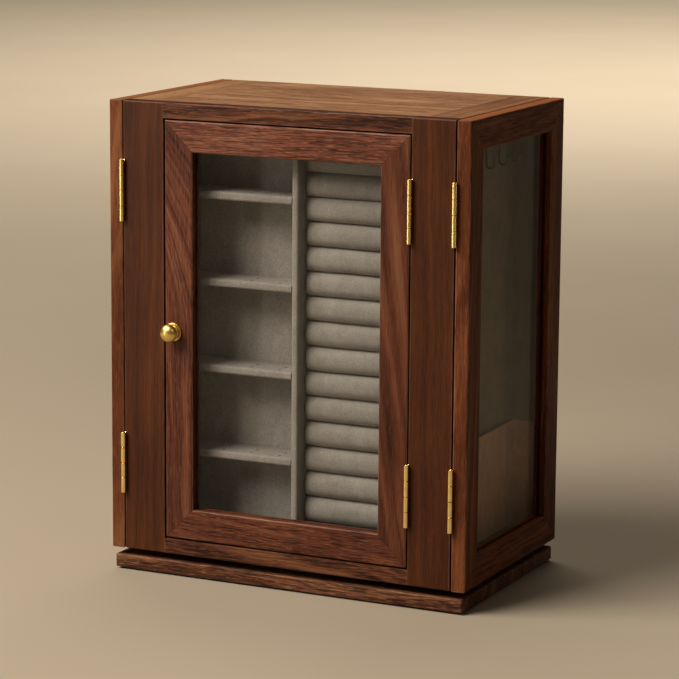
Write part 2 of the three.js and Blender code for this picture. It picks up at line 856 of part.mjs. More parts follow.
// A full-height side door, built about its hinge axis in front of the seam
function sideDoor(side, sign) {
  const group = new THREE.Group();
  group.position.set(sign * sideAxis, axisDepth, 0);
  const outward = X.clone().multiplyScalar(sign);
  const inner = sign * seamHalf;
  const near = barrelStandoff;
  const far = near + cabinetDepth;
  const corner = new THREE.Vector3(inner, sign > 0 ? near : far, 0);
  const profile = memberProfile(doorMember, doorBoard);
  const frame = doorFrame(profile, corner, cabinetDepth, cabinetHeight, outward);
  const mortises = doorMortises(sign * sideAxis, sign);
  const hingeMember = sign > 0 ? frame.left : frame.right;
  const freeMember = sign > 0 ? frame.right : frame.left;
  group.add(piece(`${side}_door_bottom_rail`, frame.bottom, redWalnut));
  group.add(piece(`${side}_door_top_rail`, frame.top, redWalnut));
  group.add(piece(`${side}_door_hinge_stile`, cut(hingeMember, mortises), redWalnut));
  group.add(piece(`${side}_door_free_stile`, freeMember, redWalnut));
  const pane = paneLimits(doorMember, cabinetDepth, cabinetHeight);
  const glassInner = inner + sign * (grooveBehind + glassPlay);
  const glassOuter = glassInner + sign * glassThickness;
  const low = [Math.min(glassInner, glassOuter), near + pane.low, pane.low];
  const high = [Math.max(glassInner, glassOuter), near + pane.wide, pane.high];
  group.add(piece(`${side}_door_glass`, block(low, high), glass));
  addDoorLeaves(group, side, sign);
  return group;
}

// One leaf of a butt hinge about its own axis; sign is the side of the seam that it lies on
function hingeLeaf(sign, firstKnuckle, withPin) {
  const half = hingeLength / 2;
  const knuckle = hingeLength / knuckles;
  const clear = barrelRadius + knucklePlay;
  const reach = barrelStandoff + leafWidth;
  const [near, far] = [sign * leafFace, sign * leafBack].sort((a, b) => a - b);
  const parts = [block([near, clear, -half], [far, reach, half])];
  for (let i = firstKnuckle; i < knuckles; i += 2) {
    const low = -half + knuckle * i + (i === 0 ? 0 : knucklePlay / 2);
    const high = -half + knuckle * (i + 1) - (i === knuckles - 1 ? 0 : knucklePlay / 2);
    parts.push(block([near, 0, low], [far, clear + leafThickness, high]));
    parts.push(cylinder(barrelRadius, low, high, barrelSides));
  }
  if (withPin) return join([...parts, cylinder(pinRadius, -half, half, holeSides)]);
  return cut(join(parts), [cylinder(pinRadius + pinPlay, -half - overrun, half + overrun, holeSides)]);
}

function hingeName(door, level) {
  return `${door}_${level < middleHeight ? "lower" : "upper"}_hinge`;
}

// The leaves on a door turn with it; sign is the side of the seam that the door lies on
function addDoorLeaves(group, door, sign) {
  for (const level of hingeLevels) {
    const leaf = piece(`${hingeName(door, level)}_door_leaf`, hingeLeaf(sign, 1, false), brass);
    leaf.position.z = level;
    group.add(leaf);
  }
}

// The leaves on the stiles carry the pins
function cabinetLeaves() {
  const group = new THREE.Group();
  const seams = [["left", -sideAxis, 1], ["right", sideAxis, -1], ["front", frontAxis, 1]];
  for (const [door, axis, sign] of seams) {
    for (const level of hingeLevels) {
      const leaf = piece(`${hingeName(door, level)}_cabinet_leaf`, hingeLeaf(sign, 0, true), brass);
      leaf.position.set(axis, axisDepth, level);
      group.add(leaf);
    }
  }
  return group;
}

// Everything that turns on the base, raised to its running height
function cabinet() {
  const group = new THREE.Group();
  group.position.z = cabinetUnderside;
  const upper = bearingPlate().applyMatrix4(new THREE.Matrix4().makeRotationX(Math.PI));
  group.add(piece("bearing_upper_plate", placed(upper, 0, 0, bearingRecess), steel));
  group.add(carcass());
  group.add(frontCompartment());
  group.add(necklaceCompartment("left", -1));
  group.add(necklaceCompartment("right", 1));
  group.add(cabinetLeaves());
  group.add(frontDoor());
  group.add(sideDoor("left", -1));
  group.add(sideDoor("right", 1));
  return group;
}

const jewelryBox = new THREE.Group();
jewelryBox.add(base(), cabinet());

export default jewelryBox;
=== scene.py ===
# %% [markdown]
# # A rotating jewelry box
#
# The real object is a walnut cabinet, 294 mm high, that turns on a low base. A glazed door fills
# the front, and each side is a glazed door of its own. Behind the front door lie four narrow
# shelves and a board of padded ring rolls. Behind each side door a row of hooks hangs over a cloth
# pocket.
#
# The shapes of the wood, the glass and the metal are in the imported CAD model, which is loaded as a
# fixed frame. This lesson gives every part its finish, replaces the soft parts and the fine
# metalwork with finer ones, and adds the small things that a maker would add last: screws, strike
# plates, linings and stitches. Shapes are in metres, and the patterns of the finishes are in
# millimetres.

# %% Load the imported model
import json
import math

import bmesh
import bpy
from mathutils import Matrix, Vector

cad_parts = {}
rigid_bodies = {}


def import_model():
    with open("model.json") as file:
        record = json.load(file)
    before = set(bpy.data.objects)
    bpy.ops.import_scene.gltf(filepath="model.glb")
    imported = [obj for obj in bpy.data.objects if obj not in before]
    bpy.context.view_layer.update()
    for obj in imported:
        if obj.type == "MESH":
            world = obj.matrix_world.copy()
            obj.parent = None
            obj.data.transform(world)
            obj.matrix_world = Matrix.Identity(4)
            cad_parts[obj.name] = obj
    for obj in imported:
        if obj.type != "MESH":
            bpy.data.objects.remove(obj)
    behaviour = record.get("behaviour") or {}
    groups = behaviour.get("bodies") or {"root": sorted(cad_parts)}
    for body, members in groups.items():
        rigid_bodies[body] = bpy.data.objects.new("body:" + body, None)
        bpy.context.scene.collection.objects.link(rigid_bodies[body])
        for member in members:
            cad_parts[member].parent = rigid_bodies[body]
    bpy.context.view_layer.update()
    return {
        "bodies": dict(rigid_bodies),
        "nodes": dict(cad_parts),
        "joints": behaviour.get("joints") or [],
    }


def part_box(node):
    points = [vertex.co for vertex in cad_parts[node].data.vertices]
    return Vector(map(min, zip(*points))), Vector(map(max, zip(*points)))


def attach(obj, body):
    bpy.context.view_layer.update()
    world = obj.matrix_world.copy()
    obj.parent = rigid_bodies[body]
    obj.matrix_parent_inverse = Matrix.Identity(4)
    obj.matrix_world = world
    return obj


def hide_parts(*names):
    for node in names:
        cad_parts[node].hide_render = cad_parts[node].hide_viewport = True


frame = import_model()
MM = 0.001

# %% [markdown]
# ## The camera
#
# The photograph was taken with a long lens from the right of the front, a little above the lid.
# Its place could be found by trying, but the cabinet's corners fix it: a pinhole camera was fitted
# to the lines of its edges, and the numbers below are that fit. The lens stays unshifted, so the
# other views frame the object in the same way.

# %% Camera
CAMERA_PLACE = (0.7762, -1.6023, 0.4806)
LENS, FILM_WIDTH = 154.6, 36


def new_object(name, data):
    """An object in the scene that shows a mesh, holds a lamp or is the camera."""
    made = bpy.data.objects.new(name, data)
    bpy.context.scene.collection.objects.link(made)
    return made


yaw, pitch, roll = (math.radians(angle) for angle in (25.79, -10.70, 0.418))
level_right = Vector((math.cos(yaw), math.sin(yaw), 0))
ahead = Vector((-math.sin(yaw) * math.cos(pitch), math.cos(yaw) * math.cos(pitch), math.sin(pitch)))
level_up = level_right.cross(ahead)
right = level_right * math.cos(roll) + level_up * math.sin(roll)
above = level_up * math.cos(roll) - level_right * math.sin(roll)

camera = new_object("camera", bpy.data.cameras.new("camera"))
camera.data.sensor_width = FILM_WIDTH
camera.data.lens = LENS
turned = Matrix((right, above, -ahead)).transposed().to_4x4()
camera.matrix_world = Matrix.Translation(CAMERA_PLACE) @ turned
bpy.context.scene.camera = camera
print("camera distance in mm:", round(camera.location.length / MM))

# %% [markdown]
# ## A bench for node trees
#
# Materials and Geometry Nodes are both trees of nodes joined by wires. Clicking them together by
# hand is slow to change, so two small classes do it here. A bench holds one tree and adds any node
# with one method: its settings first, then the values or wires of its sockets. A wire stands for
# one output, and an expression on wires such as 1 - mask adds the Math nodes that work it out.

# %% Wires and benches
class Wire:
    """One output of a node; arithmetic on it adds Math nodes to the same bench."""

    def __init__(self, bench, node, output=0):
        self.bench, self.node, self.socket = bench, node, node.outputs[output]

    def output(self, name):
        """Another output of the same node."""
        return Wire(self.bench, self.node, name)

    def maths(self, operation, *values):
        return self.bench.add("ShaderNodeMath", {"operation": operation}, dict(enumerate(values)))

    def __add__(self, other):
        return self.maths("ADD", self, other)

    def __sub__(self, other):
        return self.maths("SUBTRACT", self, other)

    def __mul__(self, other):
        return self.maths("MULTIPLY", self, other)

    def __truediv__(self, other):
        return self.maths("DIVIDE", self, other)

    def __pow__(self, other):
        return self.maths("POWER", self, other)

    def __rsub__(self, other):
        return self.maths("SUBTRACT", other, self)

    def __abs__(self):
        return self.maths("ABSOLUTE", self)

    __radd__, __rmul__ = __add__, __mul__

    def least(self, other):
        return self.maths("MINIMUM", self, other)

    def most(self, other):
        return self.maths("MAXIMUM", self, other)

    def floor(self):
        return self.maths("FLOOR", self)

    def sine(self):
        return self.maths("SINE", self)

    def rise(self, low, high):
        """0 below low, 1 above high and a smooth slope between."""
        slope = {"interpolation_type": "SMOOTHSTEP"}
        return self.bench.add("ShaderNodeMapRange", slope, {0: self, 1: low, 2: high})


class Bench:
    """A node tree and the one method that adds nodes to it."""

    def __init__(self, tree):
        self.tree = tree

    def add(self, kind, settings=None, values=None, output=0):
        """A new node, with its settings made first, then the values or wires of its sockets."""
        node = self.tree.nodes.new(kind)
        for name, value in (settings or {}).items():
            if name == "stops":
                self.set_stops(node.color_ramp, value)
            else:
                setattr(node, name, value)
        for name, value in (values or {}).items():
            if isinstance(value, Wire):
                self.tree.links.new(value.socket, node.inputs[name])
            else:
                node.inputs[name].default_value = value
        return Wire(self, node, output) if node.outputs else node

    def set_stops(self, ramp, stops):
        """Gives a colour ramp its stops, each a place from 0 to 1 and a colour."""
        while len(ramp.elements) < len(stops):
            ramp.elements.new(0.5)
        for element, (place, colour) in zip(ramp.elements, stops):
            element.position, element.color = place, colour


# %% [markdown]
# ## Colours and coordinates
#
# Colours are written as a painter would mix them, in the screen's own scale, and turned into the
# linear numbers that a renderer needs. Every pattern reads Object coordinates in millimetres, so
# the grain is the same size on every board and stays fixed in the wood when a door swings.

# %% Finishes
def paint(code):
    """A colour such as #5e3420 as linear numbers."""
    parts = [int(code[i : i + 2], 16) / 255 for i in (1, 3, 5)]
    return (*(p / 12.92 if p <= 0.04045 else ((p + 0.055) / 1.055) ** 2.4 for p in parts), 1)


class Finish(Bench):
    """A material on a bench."""

    def __init__(self, name):
        self.material = bpy.data.materials.new(name)
        self.material.use_nodes = True
        super().__init__(self.material.node_tree)
        self.tree.nodes.clear()

    def place(self, centre=(0, 0, 0)):
        """Object coordinates in millimetres from a centre, as three wires."""
        at = self.add("ShaderNodeTexCoord", output="Object")
        values = {"Vector": at, "Scale": (1 / MM,) * 3}
        at = self.add("ShaderNodeMapping", {"vector_type": "POINT"}, values)
        values = {0: at, 1: tuple(c / MM for c in centre)}
        at = self.add("ShaderNodeVectorMath", {"operation": "SUBTRACT"}, values)
        split = self.add("ShaderNodeSeparateXYZ", values={0: at})
        return split, split.output("Y"), split.output("Z")

    def noise(self, x, y, z, detail=2.0, roughness=0.5, distortion=0.0):
        """Noise from 0 to 1 over three wires or numbers, one cell for each unit."""
        at = self.add("ShaderNodeCombineXYZ", values={0: x, 1: y, 2: z})
        values = {"Detail": detail, "Roughness": roughness, "Distortion": distortion}
        return self.add("ShaderNodeTexNoise", values={"Vector": at, "Scale": 1.0, **values})

    def blend(self, factor, first, second):
        """The first colour where factor is 0, the second where it is 1."""
        return self.add("ShaderNodeMix", {"data_type": "RGBA"}, {0: factor, 6: first, 7: second}, 2)

    def ramp(self, factor, tones):
        """A dark, a middle and a light tone, as factor goes from 0.2 to 0.8."""
        stops = [(place, paint(tone)) for place, tone in zip((0.2, 0.5, 0.8), tones)]
        return self.add("ShaderNodeValToRGB", {"stops": stops}, {"Fac": factor})

    def bump(self, height, depth, strength):
        """A normal from a height of 0 to 1 that is worth depth in millimetres."""
        values = {"Strength": strength, "Distance": depth * MM, "Height": height}
        return self.add("ShaderNodeBump", values=values)

    def surface(self, values):
        self.show(self.add("ShaderNodeBsdfPrincipled", values=values))

    def show(self, shader):
        self.add("ShaderNodeOutputMaterial", values={"Surface": shader})


def dress(name, material):
    """Gives a CAD node its material."""
    mesh = frame["nodes"][name].data
    mesh.materials.clear()
    mesh.materials.append(material)


# %% [markdown]
# ## Walnut
#
# Walnut is a dark brown wood with four things to see. Growth rings give broad light and dark
# bands, straight along a board's edge and arched where the saw ran along the rings. Between them
# run fine streaks of fibre. Open pores show as dark dashes along the grain, in crowds where the
# wood grew in spring, and bright flecks lie between them. A picture wrapped round a board would
# break at each corner, so the wood here is a solid pattern: rings round a tree's heart that lies
# outside the board, bent by slow noise, and cut by whatever surface the board has. A ring line
# that leans across a board's face turns into the arches of a plain-sawn board, and one that bows
# sweeps to one side.
#
# The arrises are painted a little lighter, partly as the rubbing of a handled box and partly as a
# painted highlight where the light catches them. The distance to the board's own box finds them.
# A mitre shows as a hairline, at 45 degrees from the door's corner. A board's upper edge is painted
# lighter as well, a painted sheen where the light falls on its top.

# %% Rings, pores, arrises with wear and painted highlight, and mitres
AXES = {"x": 0, "y": 1, "z": 2}
# The colour of a lightened arris: partly rubbed wear, partly a painted highlight.
RUBBED_AND_LIT = paint("#a4826a")


def ring_lines(wood, along, across, through, heart, lean, bow, seed):
    """Distance from the tree's heart in millimetres, bent as real rings are."""
    slow = wood.noise(along * 0.011 + seed, across * 0.035, through * 0.035, detail=1.0)
    quick = wood.noise(along * 0.035, across * 0.14 + seed, through * 0.14, detail=2.0)
    bent = (slow - 0.5) * 9 + (quick - 0.5) * 1.6
    upper = along.most(0)
    side = across - heart[0] - along * lean[0] - upper * upper * bow
    deep = through - heart[1] - along * lean[1]
    return (side * side + deep * deep) ** 0.5 + bent


def pores_and_flecks(wood, along, across, through, broad, seed):
    """Dark dashes, crowded where the broad bands are dark, and bright ones between them."""
    long_pore = wood.noise(along * 0.07, across * 1.4, through * 1.4 - seed, 1.0, 0.4)
    short_pore = wood.noise(along * 0.2, across * 2.1, through * 2.1 + seed, 1.0, 0.4)
    dashes = (long_pore.rise(0.56, 0.6) + short_pore.rise(0.57, 0.62) * 0.6).least(1)
    spring = 1 - broad.rise(-0.06, 0.2) * 0.65
    bright = wood.noise(along * 0.12, across * 1.6 + seed, through * 1.6, detail=1.0)
    return dashes * spring, bright.rise(0.56, 0.63)


def arris_wear_and_highlight(distances, width=0.9):
    """1 on a board's arrises, from the distances to its faces, and 0 a little way in."""
    a, b, c = distances
    nearest = a.most(b).least(b.most(c)).least(a.most(c))
    return 1 - nearest.rise(0.0, width)


def mitre_line(wood, door):
    """1 on the hairlines where the four members of a door meet, and 0 beside them."""
    axis, centre, half_width, half_height = door
    at = wood.place(centre)
    side = half_width - abs(at[AXES[axis]])
    rise = half_height - abs(at[2])
    return 1 - abs(side - rise).rise(0.1, 0.45)


# %% Walnut
def walnut(name, box, grain, across, heart, lean, seed, tones, bow=0.0, bands=0.3, figure=0.6,
           streaks=0.55, pores=1.0, gloss=0.12, wear_and_highlight=0.12, top_sheen=0.0, mitre=None):
    """The walnut of one board.

    The grain runs along one axis and the face lies across another. The heart's place, its lean
    and its bow shape the rings, and bands is how close they lie. Figure, streaks and pores say how
    strongly each shows. The wear and highlight amount lightens the arrises, partly as rubbed wear
    and partly as a painted highlight, and the top sheen amount lightens the upper edge as a painted
    sheen. Mitre is the door that the board is a member of. Noise is in cells a millimetre, u along
    the board, v across its face and w through it.
    """
    wood = Finish("walnut_" + name)
    low, high = box
    at = wood.place((low + high) / 2)
    half = (high - low) / 2 / MM
    u, v, w = (at[i] for i in (AXES[grain], AXES[across], 3 - AXES[grain] - AXES[across]))

    rings = ring_lines(wood, u, v, w, heart, lean, bow, seed)
    broad = wood.noise(rings * bands, seed, u * 0.004, detail=2.0, roughness=0.55) - 0.5
    fine = wood.noise(rings * 1.3, u * 0.012, seed, detail=2.0, roughness=0.6) - 0.5
    streak = wood.noise(u * 0.04, v * 1.15, w * 1.15 + seed, detail=2.0, roughness=0.65) - 0.5
    cloud = wood.noise(u * 0.014, v * 0.05, w * 0.05 - seed, detail=1.0) - 0.5
    tone = broad * (figure * 1.7) + fine * (streaks * 0.7) + streak * streaks + cloud * 0.4 + 0.5

    dash, bright = pores_and_flecks(wood, u, v, w, broad, seed)
    pore = dash * pores
    fleck = bright * (1 - pore) * pores

    dark, light = paint(tones[0]), paint(tones[2])
    colour = wood.blend(fleck * 0.45, wood.ramp(tone, tones), light)
    colour = wood.blend(pore * 0.85, colour, dark)
    # Painted sheen: the upper edge is painted lighter where the light falls on the top.
    if top_sheen:
        sheen_top_edge = at[2].rise(half.z - 0.4, half.z - 0.1)
        colour = wood.blend(sheen_top_edge * top_sheen, colour, light)
    # Arrises painted lighter: partly rubbed wear, partly a painted highlight.
    rub = arris_wear_and_highlight([abs(abs(d) - h) for d, h in zip(at, half)])
    rub = rub * wood.noise(u * 0.08, v * 0.3, w * 0.3 + seed).rise(0.25, 0.6)
    colour = wood.blend(rub * wear_and_highlight, colour, RUBBED_AND_LIT)
    height = streak * 0.3 - pore
    if mitre:
        joint = mitre_line(wood, mitre)
        colour = wood.blend(joint * 0.55, colour, dark)
        height = height - joint
    wood.surface({
        "Base Color": colour,
        "Roughness": 0.4 + pore * 0.2 + streak * 0.1,
        "Specular IOR Level": gloss,
        "Normal": wood.bump(height, 0.05, 0.55),
    })
    return wood.material

# %% [markdown]
# Every board has its own place in a tree, so no two show the same figure. The table gives for each
# one the way its grain runs, the way across its face, where the heart lies and how much the rings
# lean. The stiles of the face frame are cut near the edge of the log and stay quiet and straight.
# The lid has three boards: a wide one whose grain runs left and right, and a narrow one across
# each end, which keeps it flat. The lid's tones are painted light: it is the palest wood of all
# because the light falls straight on it, and its left end is paler than the right as a painted
# sheen.

# %% Walnut of the cabinet and the base
BROWN = ("#220e06", "#40200d", "#593017")
RUSSET = ("#1e0d07", "#53301f", "#8f6446")
RAIL = ("#1c0c06", "#4b2819", "#71482f")
# The lid's three tones are painted light, and the left end's is paler still as a painted sheen.
GOLDEN = ("#553a28", "#866045", "#ad8866")
SHEEN_PALE = ("#5b402b", "#8c6848", "#a8825d")
TAN = ("#4a3021", "#755037", "#946d4c")
LID_END = 0.02125
lid_low, lid_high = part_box("top_panel")


def part_of_lid(start, stop):
    """The box of a board of the lid, from one x to another."""
    return Vector((start, lid_low.y, lid_low.z)), Vector((stop, lid_high.y, lid_high.z))


lid_boxes = {
    "left_lid_end": part_of_lid(lid_low.x, lid_low.x + LID_END),
    "lid_board": part_of_lid(lid_low.x + LID_END, lid_high.x - LID_END),
    "right_lid_end": part_of_lid(lid_high.x - LID_END, lid_high.x),
}
UPRIGHT = dict(grain="z", across="x", tones=BROWN)
LEVEL = dict(grain="x", across="z", tones=RAIL, bands=0.4)
FLAT = dict(grain="x", across="y")
LID_CROSS = dict(grain="y", across="x", figure=0.3, streaks=0.35, pores=0.6)
cabinet_boards = {
    "left_stile": dict(heart=(150, 60), lean=(0.02, 0.01), seed=1.0,
                       figure=0.3, streaks=0.25, pores=0.35, **UPRIGHT),
    "right_stile": dict(heart=(-170, 40), lean=(-0.01, 0.02), seed=2.0,
                        figure=0.3, streaks=0.25, pores=0.45, **UPRIGHT),
    "top_rail": dict(heart=(60, 90), lean=(0.01, 0.03), seed=3.0, **LEVEL),
    "bottom_rail": dict(heart=(-40, 110), lean=(0.02, 0.06), seed=4.0, **LEVEL),
    "bottom_panel": dict(heart=(-30, 90), lean=(0.02, 0.05), seed=6.0, tones=BROWN, **FLAT),
    "back_panel": dict(heart=(12, -95), lean=(0.02, 0.1), seed=7.0, bands=0.22, **UPRIGHT),
    "left_lid_end": dict(heart=(40, 60), lean=(0.03, 0.02), seed=9.0, tones=SHEEN_PALE, **LID_CROSS),
    "lid_board": dict(heart=(30, -140), lean=(0.12, 0.03), seed=5.0, tones=GOLDEN,
                      bands=0.24, figure=0.45, streaks=0.75, **FLAT),
    "right_lid_end": dict(heart=(-50, 60), lean=(0.02, 0.03), seed=10.0, tones=TAN, **LID_CROSS),
    "base_plate": dict(heart=(-140, 60), lean=(0.02, 0.01), seed=8.0, tones=RUSSET,
                       bands=0.35, **FLAT),
}
board_finishes = {}
for board, cut in cabinet_boards.items():
    board_finishes[board] = walnut(board, lid_boxes.get(board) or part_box(board), **cut)
print("walnut finishes:", len(board_finishes))

# %% [markdown]
# The front door is picked for its figure, redder than the rest. Its rails show long dark pores,
# its knob stile has streaks that sweep to one side near the top, and its hinge stile leans all the
# way and has a darker copy of the red, as painted shade. The side doors are quieter. The left one
# has lighter tones as painted light and the right one darker, redder tones as painted shade, and
# the upper edges of their boards are painted lighter as a painted sheen. The four members of a door
# share its mitre lines.

# %% Walnut of the doors
RED_RAIL = ("#230f09", "#603526", "#8b5e47")
RED = ("#230f09", "#532b1c", "#784c35")
# A darker copy of the door's red for its hinge stile: painted shade.
SHADED_RED = ("#200e07", "#4e2818", "#6f4630")
# The side doors' tones: the lit left one's are lighter as painted light, the shaded right one's
# darker and redder as painted shade.
LIT_LEFT_RED = ("#34170d", "#5d341f", "#7f5335")
SHADED_DEEP_RED = ("#28110a", "#572f1b", "#824f32")


def span(*nodes):
    """The box round several CAD nodes."""
    lows, highs = zip(*(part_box(node) for node in nodes))
    return Vector(map(min, zip(*lows))), Vector(map(max, zip(*highs)))


def door_walnut(door, level_axis, members, gloss=0.12, top_sheen=0.0):
    """The walnut of a door's four members, which meet on the same mitre lines."""
    low, high = span(*(f"{door}_door_{part}" for part in members))
    half = (high - low) / 2 / MM
    shared = dict(gloss=gloss, top_sheen=top_sheen, wear_and_highlight=0.5,
                  mitre=(level_axis, (low + high) / 2, half[AXES[level_axis]], half.z))
    for part, cut in members.items():
        board = f"{door}_door_{part}"
        grain, across = (level_axis, "z") if part.endswith("_rail") else ("z", level_axis)
        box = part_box(board)
        board_finishes[board] = walnut(board, box, grain, across, **cut, **shared)


door_walnut("front", "x", {
    "top_rail": dict(heart=(70, -60), lean=(0.04, 0.03), seed=11.0, tones=RED_RAIL,
                     bands=0.4, figure=0.22, streaks=0.4),
    "bottom_rail": dict(heart=(-60, 70), lean=(-0.06, 0.03), seed=12.0, tones=RED,
                        bands=0.4, figure=0.3, streaks=0.5),
    "knob_stile": dict(heart=(-60, 30), lean=(0.0, 0.02), bow=-0.0034, seed=13.0, tones=RED,
                       bands=0.4, streaks=0.4, pores=0.6),
    "hinge_stile": dict(heart=(70, 50), lean=(-0.16, 0.02), seed=14.0, tones=SHADED_RED,
                        bands=0.14, streaks=0.3, pores=0.4),
})
# The left door's lighter tones are painted light, and the right door's darker tones painted shade.
for door, seed, tones in (("left", 20.0, LIT_LEFT_RED), ("right", 30.0, SHADED_DEEP_RED)):
    rail = dict(tones=tones, bands=0.35, figure=0.4, pores=0.6)
    door_walnut(door, "y", {
        "top_rail": dict(heart=(70, 60), lean=(0.03, 0.02), seed=seed + 1, **rail),
        "bottom_rail": dict(heart=(-60, 50), lean=(0.04, 0.03), seed=seed + 2, **rail),
        "hinge_stile": dict(heart=(90, 30), lean=(0.03, 0.14), seed=seed + 3, tones=tones,
                            bands=0.2, figure=0.45, streaks=0.25, pores=0.5),
        "free_stile": dict(heart=(-80, 60), lean=(0.04, 0.06), seed=seed + 4, tones=tones,
                           figure=0.4, pores=0.6),
    }, gloss=0.04, top_sheen=0.85)
print("walnut finishes:", len(board_finishes))

# %% [markdown]
# ## Clear glass
#
# The panes are flat, 2 mm thick and clear. A glass shader that bends light would keep lamps from
# reaching the lining in a short render, so a pane is made as what it looks like from both sides:
# light goes straight through, and a mirror image is laid over it that grows as the eye comes down
# to the surface. The share of the mirror rises with the fifth power, as it does on real glass. It
# is kept lower than real glass has it, because the pale floor is a bright thing to mirror. Faint
# wipe marks change how sharp it is.

# %% Glass
MIRROR_TINT = (0.96, 1, 0.98, 1)
CLEAR_TINT = (0.965, 0.96, 0.945, 1)


def clear_glass(name):
    glass = Finish(name)
    x, y, z = glass.place()
    wipes = glass.noise(x * 0.02, y * 0.02, z * 0.05, detail=3.0, distortion=1.0)
    blur = 0.015 + wipes * 0.03
    mirror = glass.add("ShaderNodeBsdfGlossy", values={"Color": MIRROR_TINT, "Roughness": blur})
    through = glass.add("ShaderNodeBsdfTransparent", values={"Color": CLEAR_TINT})
    edge_on = glass.add("ShaderNodeLayerWeight", values={"Blend": 0.5}, output="Facing")
    share = edge_on**5 * 0.3 + 0.01
    glass.show(glass.add("ShaderNodeMixShader", values={0: share, 1: through, 2: mirror}))
    return glass.material


DOORS = ("front", "left", "right")
pane = clear_glass("clear_glass")
for door in DOORS:
    dress(f"{door}_door_glass", pane)
print("panes of clear glass:", len(DOORS))

# %% [markdown]
# ## Flock and velvet
#
# The boards inside are covered with flock, a felt of very short fibres blown onto glue. It has no
# weave. Its look comes from fibres too fine to see one by one, from patches where they lean
# another way, and from a soft glow where the surface turns away from the eye. Principled sheen
# gives the glow. Noise at three sizes gives the rest. In the side compartments the same flock is
# painted darker and browner, as painted shade, because they lie in the shade. An inner wall shows
# both tones, one on each face, so the material changes with the distance from the middle. The
# velvet of the ring rolls and the cloth of the pockets are close relatives, with other colours
# and a stronger glow.

# %% Flock, velvet and pocket cloth
SHEEN_TINT = (0.95, 0.92, 0.86, 1)


def napped(name, tones, sheen, fibre_size=0.7, nap=1.3, patch=0.5, outer=None):
    """A finish of short fibres.

    The fibres' size is in millimetres, and nap and patch say how strongly the fibres and the
    patches show. Outer is a distance from the middle in millimetres and the darker tones beyond it,
    which are painted shade.
    """
    cloth = Finish(name)
    x, y, z = cloth.place()
    fine = 1 / fibre_size
    fibres = cloth.noise(x * fine, y * fine, z * fine, detail=2.0, roughness=0.7)
    strokes = cloth.noise(x * 0.16, y * 0.16, z * 0.08, detail=2.0, distortion=0.6)
    patches = cloth.noise(x * 0.035, y * 0.035, z * 0.035, detail=2.0)
    lay = (fibres - 0.5) * nap + (strokes - 0.5) * patch + (patches - 0.5) * patch + 0.5
    colour = cloth.ramp(lay, tones)
    # Beyond the distance the colour is painted shade: darker tones for a shaded part.
    if outer:
        distance, shaded_tones = outer
        beyond = abs(x).rise(distance - 0.5, distance + 0.5)
        colour = cloth.blend(beyond, colour, cloth.ramp(lay, shaded_tones))
    cloth.surface({
        "Base Color": colour,
        "Roughness": 0.82 + strokes * 0.16,
        "Specular IOR Level": 0.2,
        "Sheen Weight": sheen,
        "Sheen Roughness": 0.45,
        "Sheen Tint": SHEEN_TINT,
        "Normal": cloth.bump(fibres + strokes * 0.6, 0.09, 0.7),
    })
    return cloth.material


wall_low, wall_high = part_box("right_inner_wall")
wall_middle = (wall_low.x + wall_high.x) / 2 / MM
# Darker, browner tones of the same flock: painted shade for the side compartments.
SHADED_FLOCK_TONES = ("#4f493c", "#675f4e", "#7b715c")
flock = napped("grey_flock", ("#62605e", "#7f7b78", "#96918d"), sheen=0.1, nap=0.9, patch=0.35,
               outer=(wall_middle, SHADED_FLOCK_TONES))
velvet = napped("grey_velvet", ("#625e5a", "#7b7874", "#938f8c"), sheen=0.25, fibre_size=0.6,
                nap=0.9, patch=0.3)
pocket_cloth = napped("pocket_cloth", ("#86644b", "#a37e63", "#bd987c"), sheen=0.2, fibre_size=0.6)
flocked_walls = ("display_back", "left_inner_wall", "right_inner_wall")
for node in flocked_walls:
    dress(node, flock)
print("flocked walls:", len(flocked_walls), "browner beyond mm:", round(wall_middle, 1))

# %% [markdown]
# ## Metals and rubber
#
# The hinges and the knob are brass under lacquer: bright, a little orange in its hollows, with
# hair scratches from wiping. The hinges are polished and the knob is satin. The turntable bearing
# is pressed steel with a milky zinc skin, and the magnets, the strike plates and the knob's screw
# are nickel plated. All are one recipe with other colours: a metal whose colour drifts slightly
# and whose roughness rises in fine scratches. The feet are matt rubber with a dusty bloom.

# %% Brass, steel and rubber
def metal(name, tones, rough, scratch=0.12, level=5.5, upright=0.25, depth=0.012):
    """A metal in a clean, a second and a tarnished tone, with fine scratches.

    Level and upright are the scratches' cells a millimetre, sideways and upwards, and depth is
    how deep they are in millimetres. Scratch is what they add to the roughness.
    """
    skin = Finish(name)
    clean, second, tarnished = (paint(tone) for tone in tones)
    x, y, z = skin.place()
    hair = skin.noise(x * level, y * level, z * upright, detail=2.0, roughness=0.6)
    cloud = skin.noise(x * 0.2, y * 0.2, z * 0.2, detail=3.0)
    specks = skin.noise(x * 1.6, y * 1.6, z * 1.6, detail=2.0).rise(0.62, 0.75)
    colour = skin.blend(cloud.rise(0.3, 0.7), clean, second)
    skin.surface({
        "Base Color": skin.blend(specks * 0.15, colour, tarnished),
        "Metallic": 1.0,
        "Roughness": rough + hair * scratch + specks * (scratch / 2),
        "Normal": skin.bump(hair, depth, 0.25),
    })
    return skin.material


def rubber(name):
    foot = Finish(name)
    x, y, z = foot.place()
    bloom = foot.noise(x * 0.4, y * 0.4, z * 0.4, detail=3.0)
    grain = foot.noise(x * 3, y * 3, z * 3, detail=1.0)
    foot.surface({
        "Base Color": foot.blend(bloom.rise(0.35, 0.8), paint("#262423"), paint("#3c3936")),
        "Roughness": 0.72 + grain * 0.2,
        "Normal": foot.bump(grain, 0.05, 0.4),
    })
    return foot.material


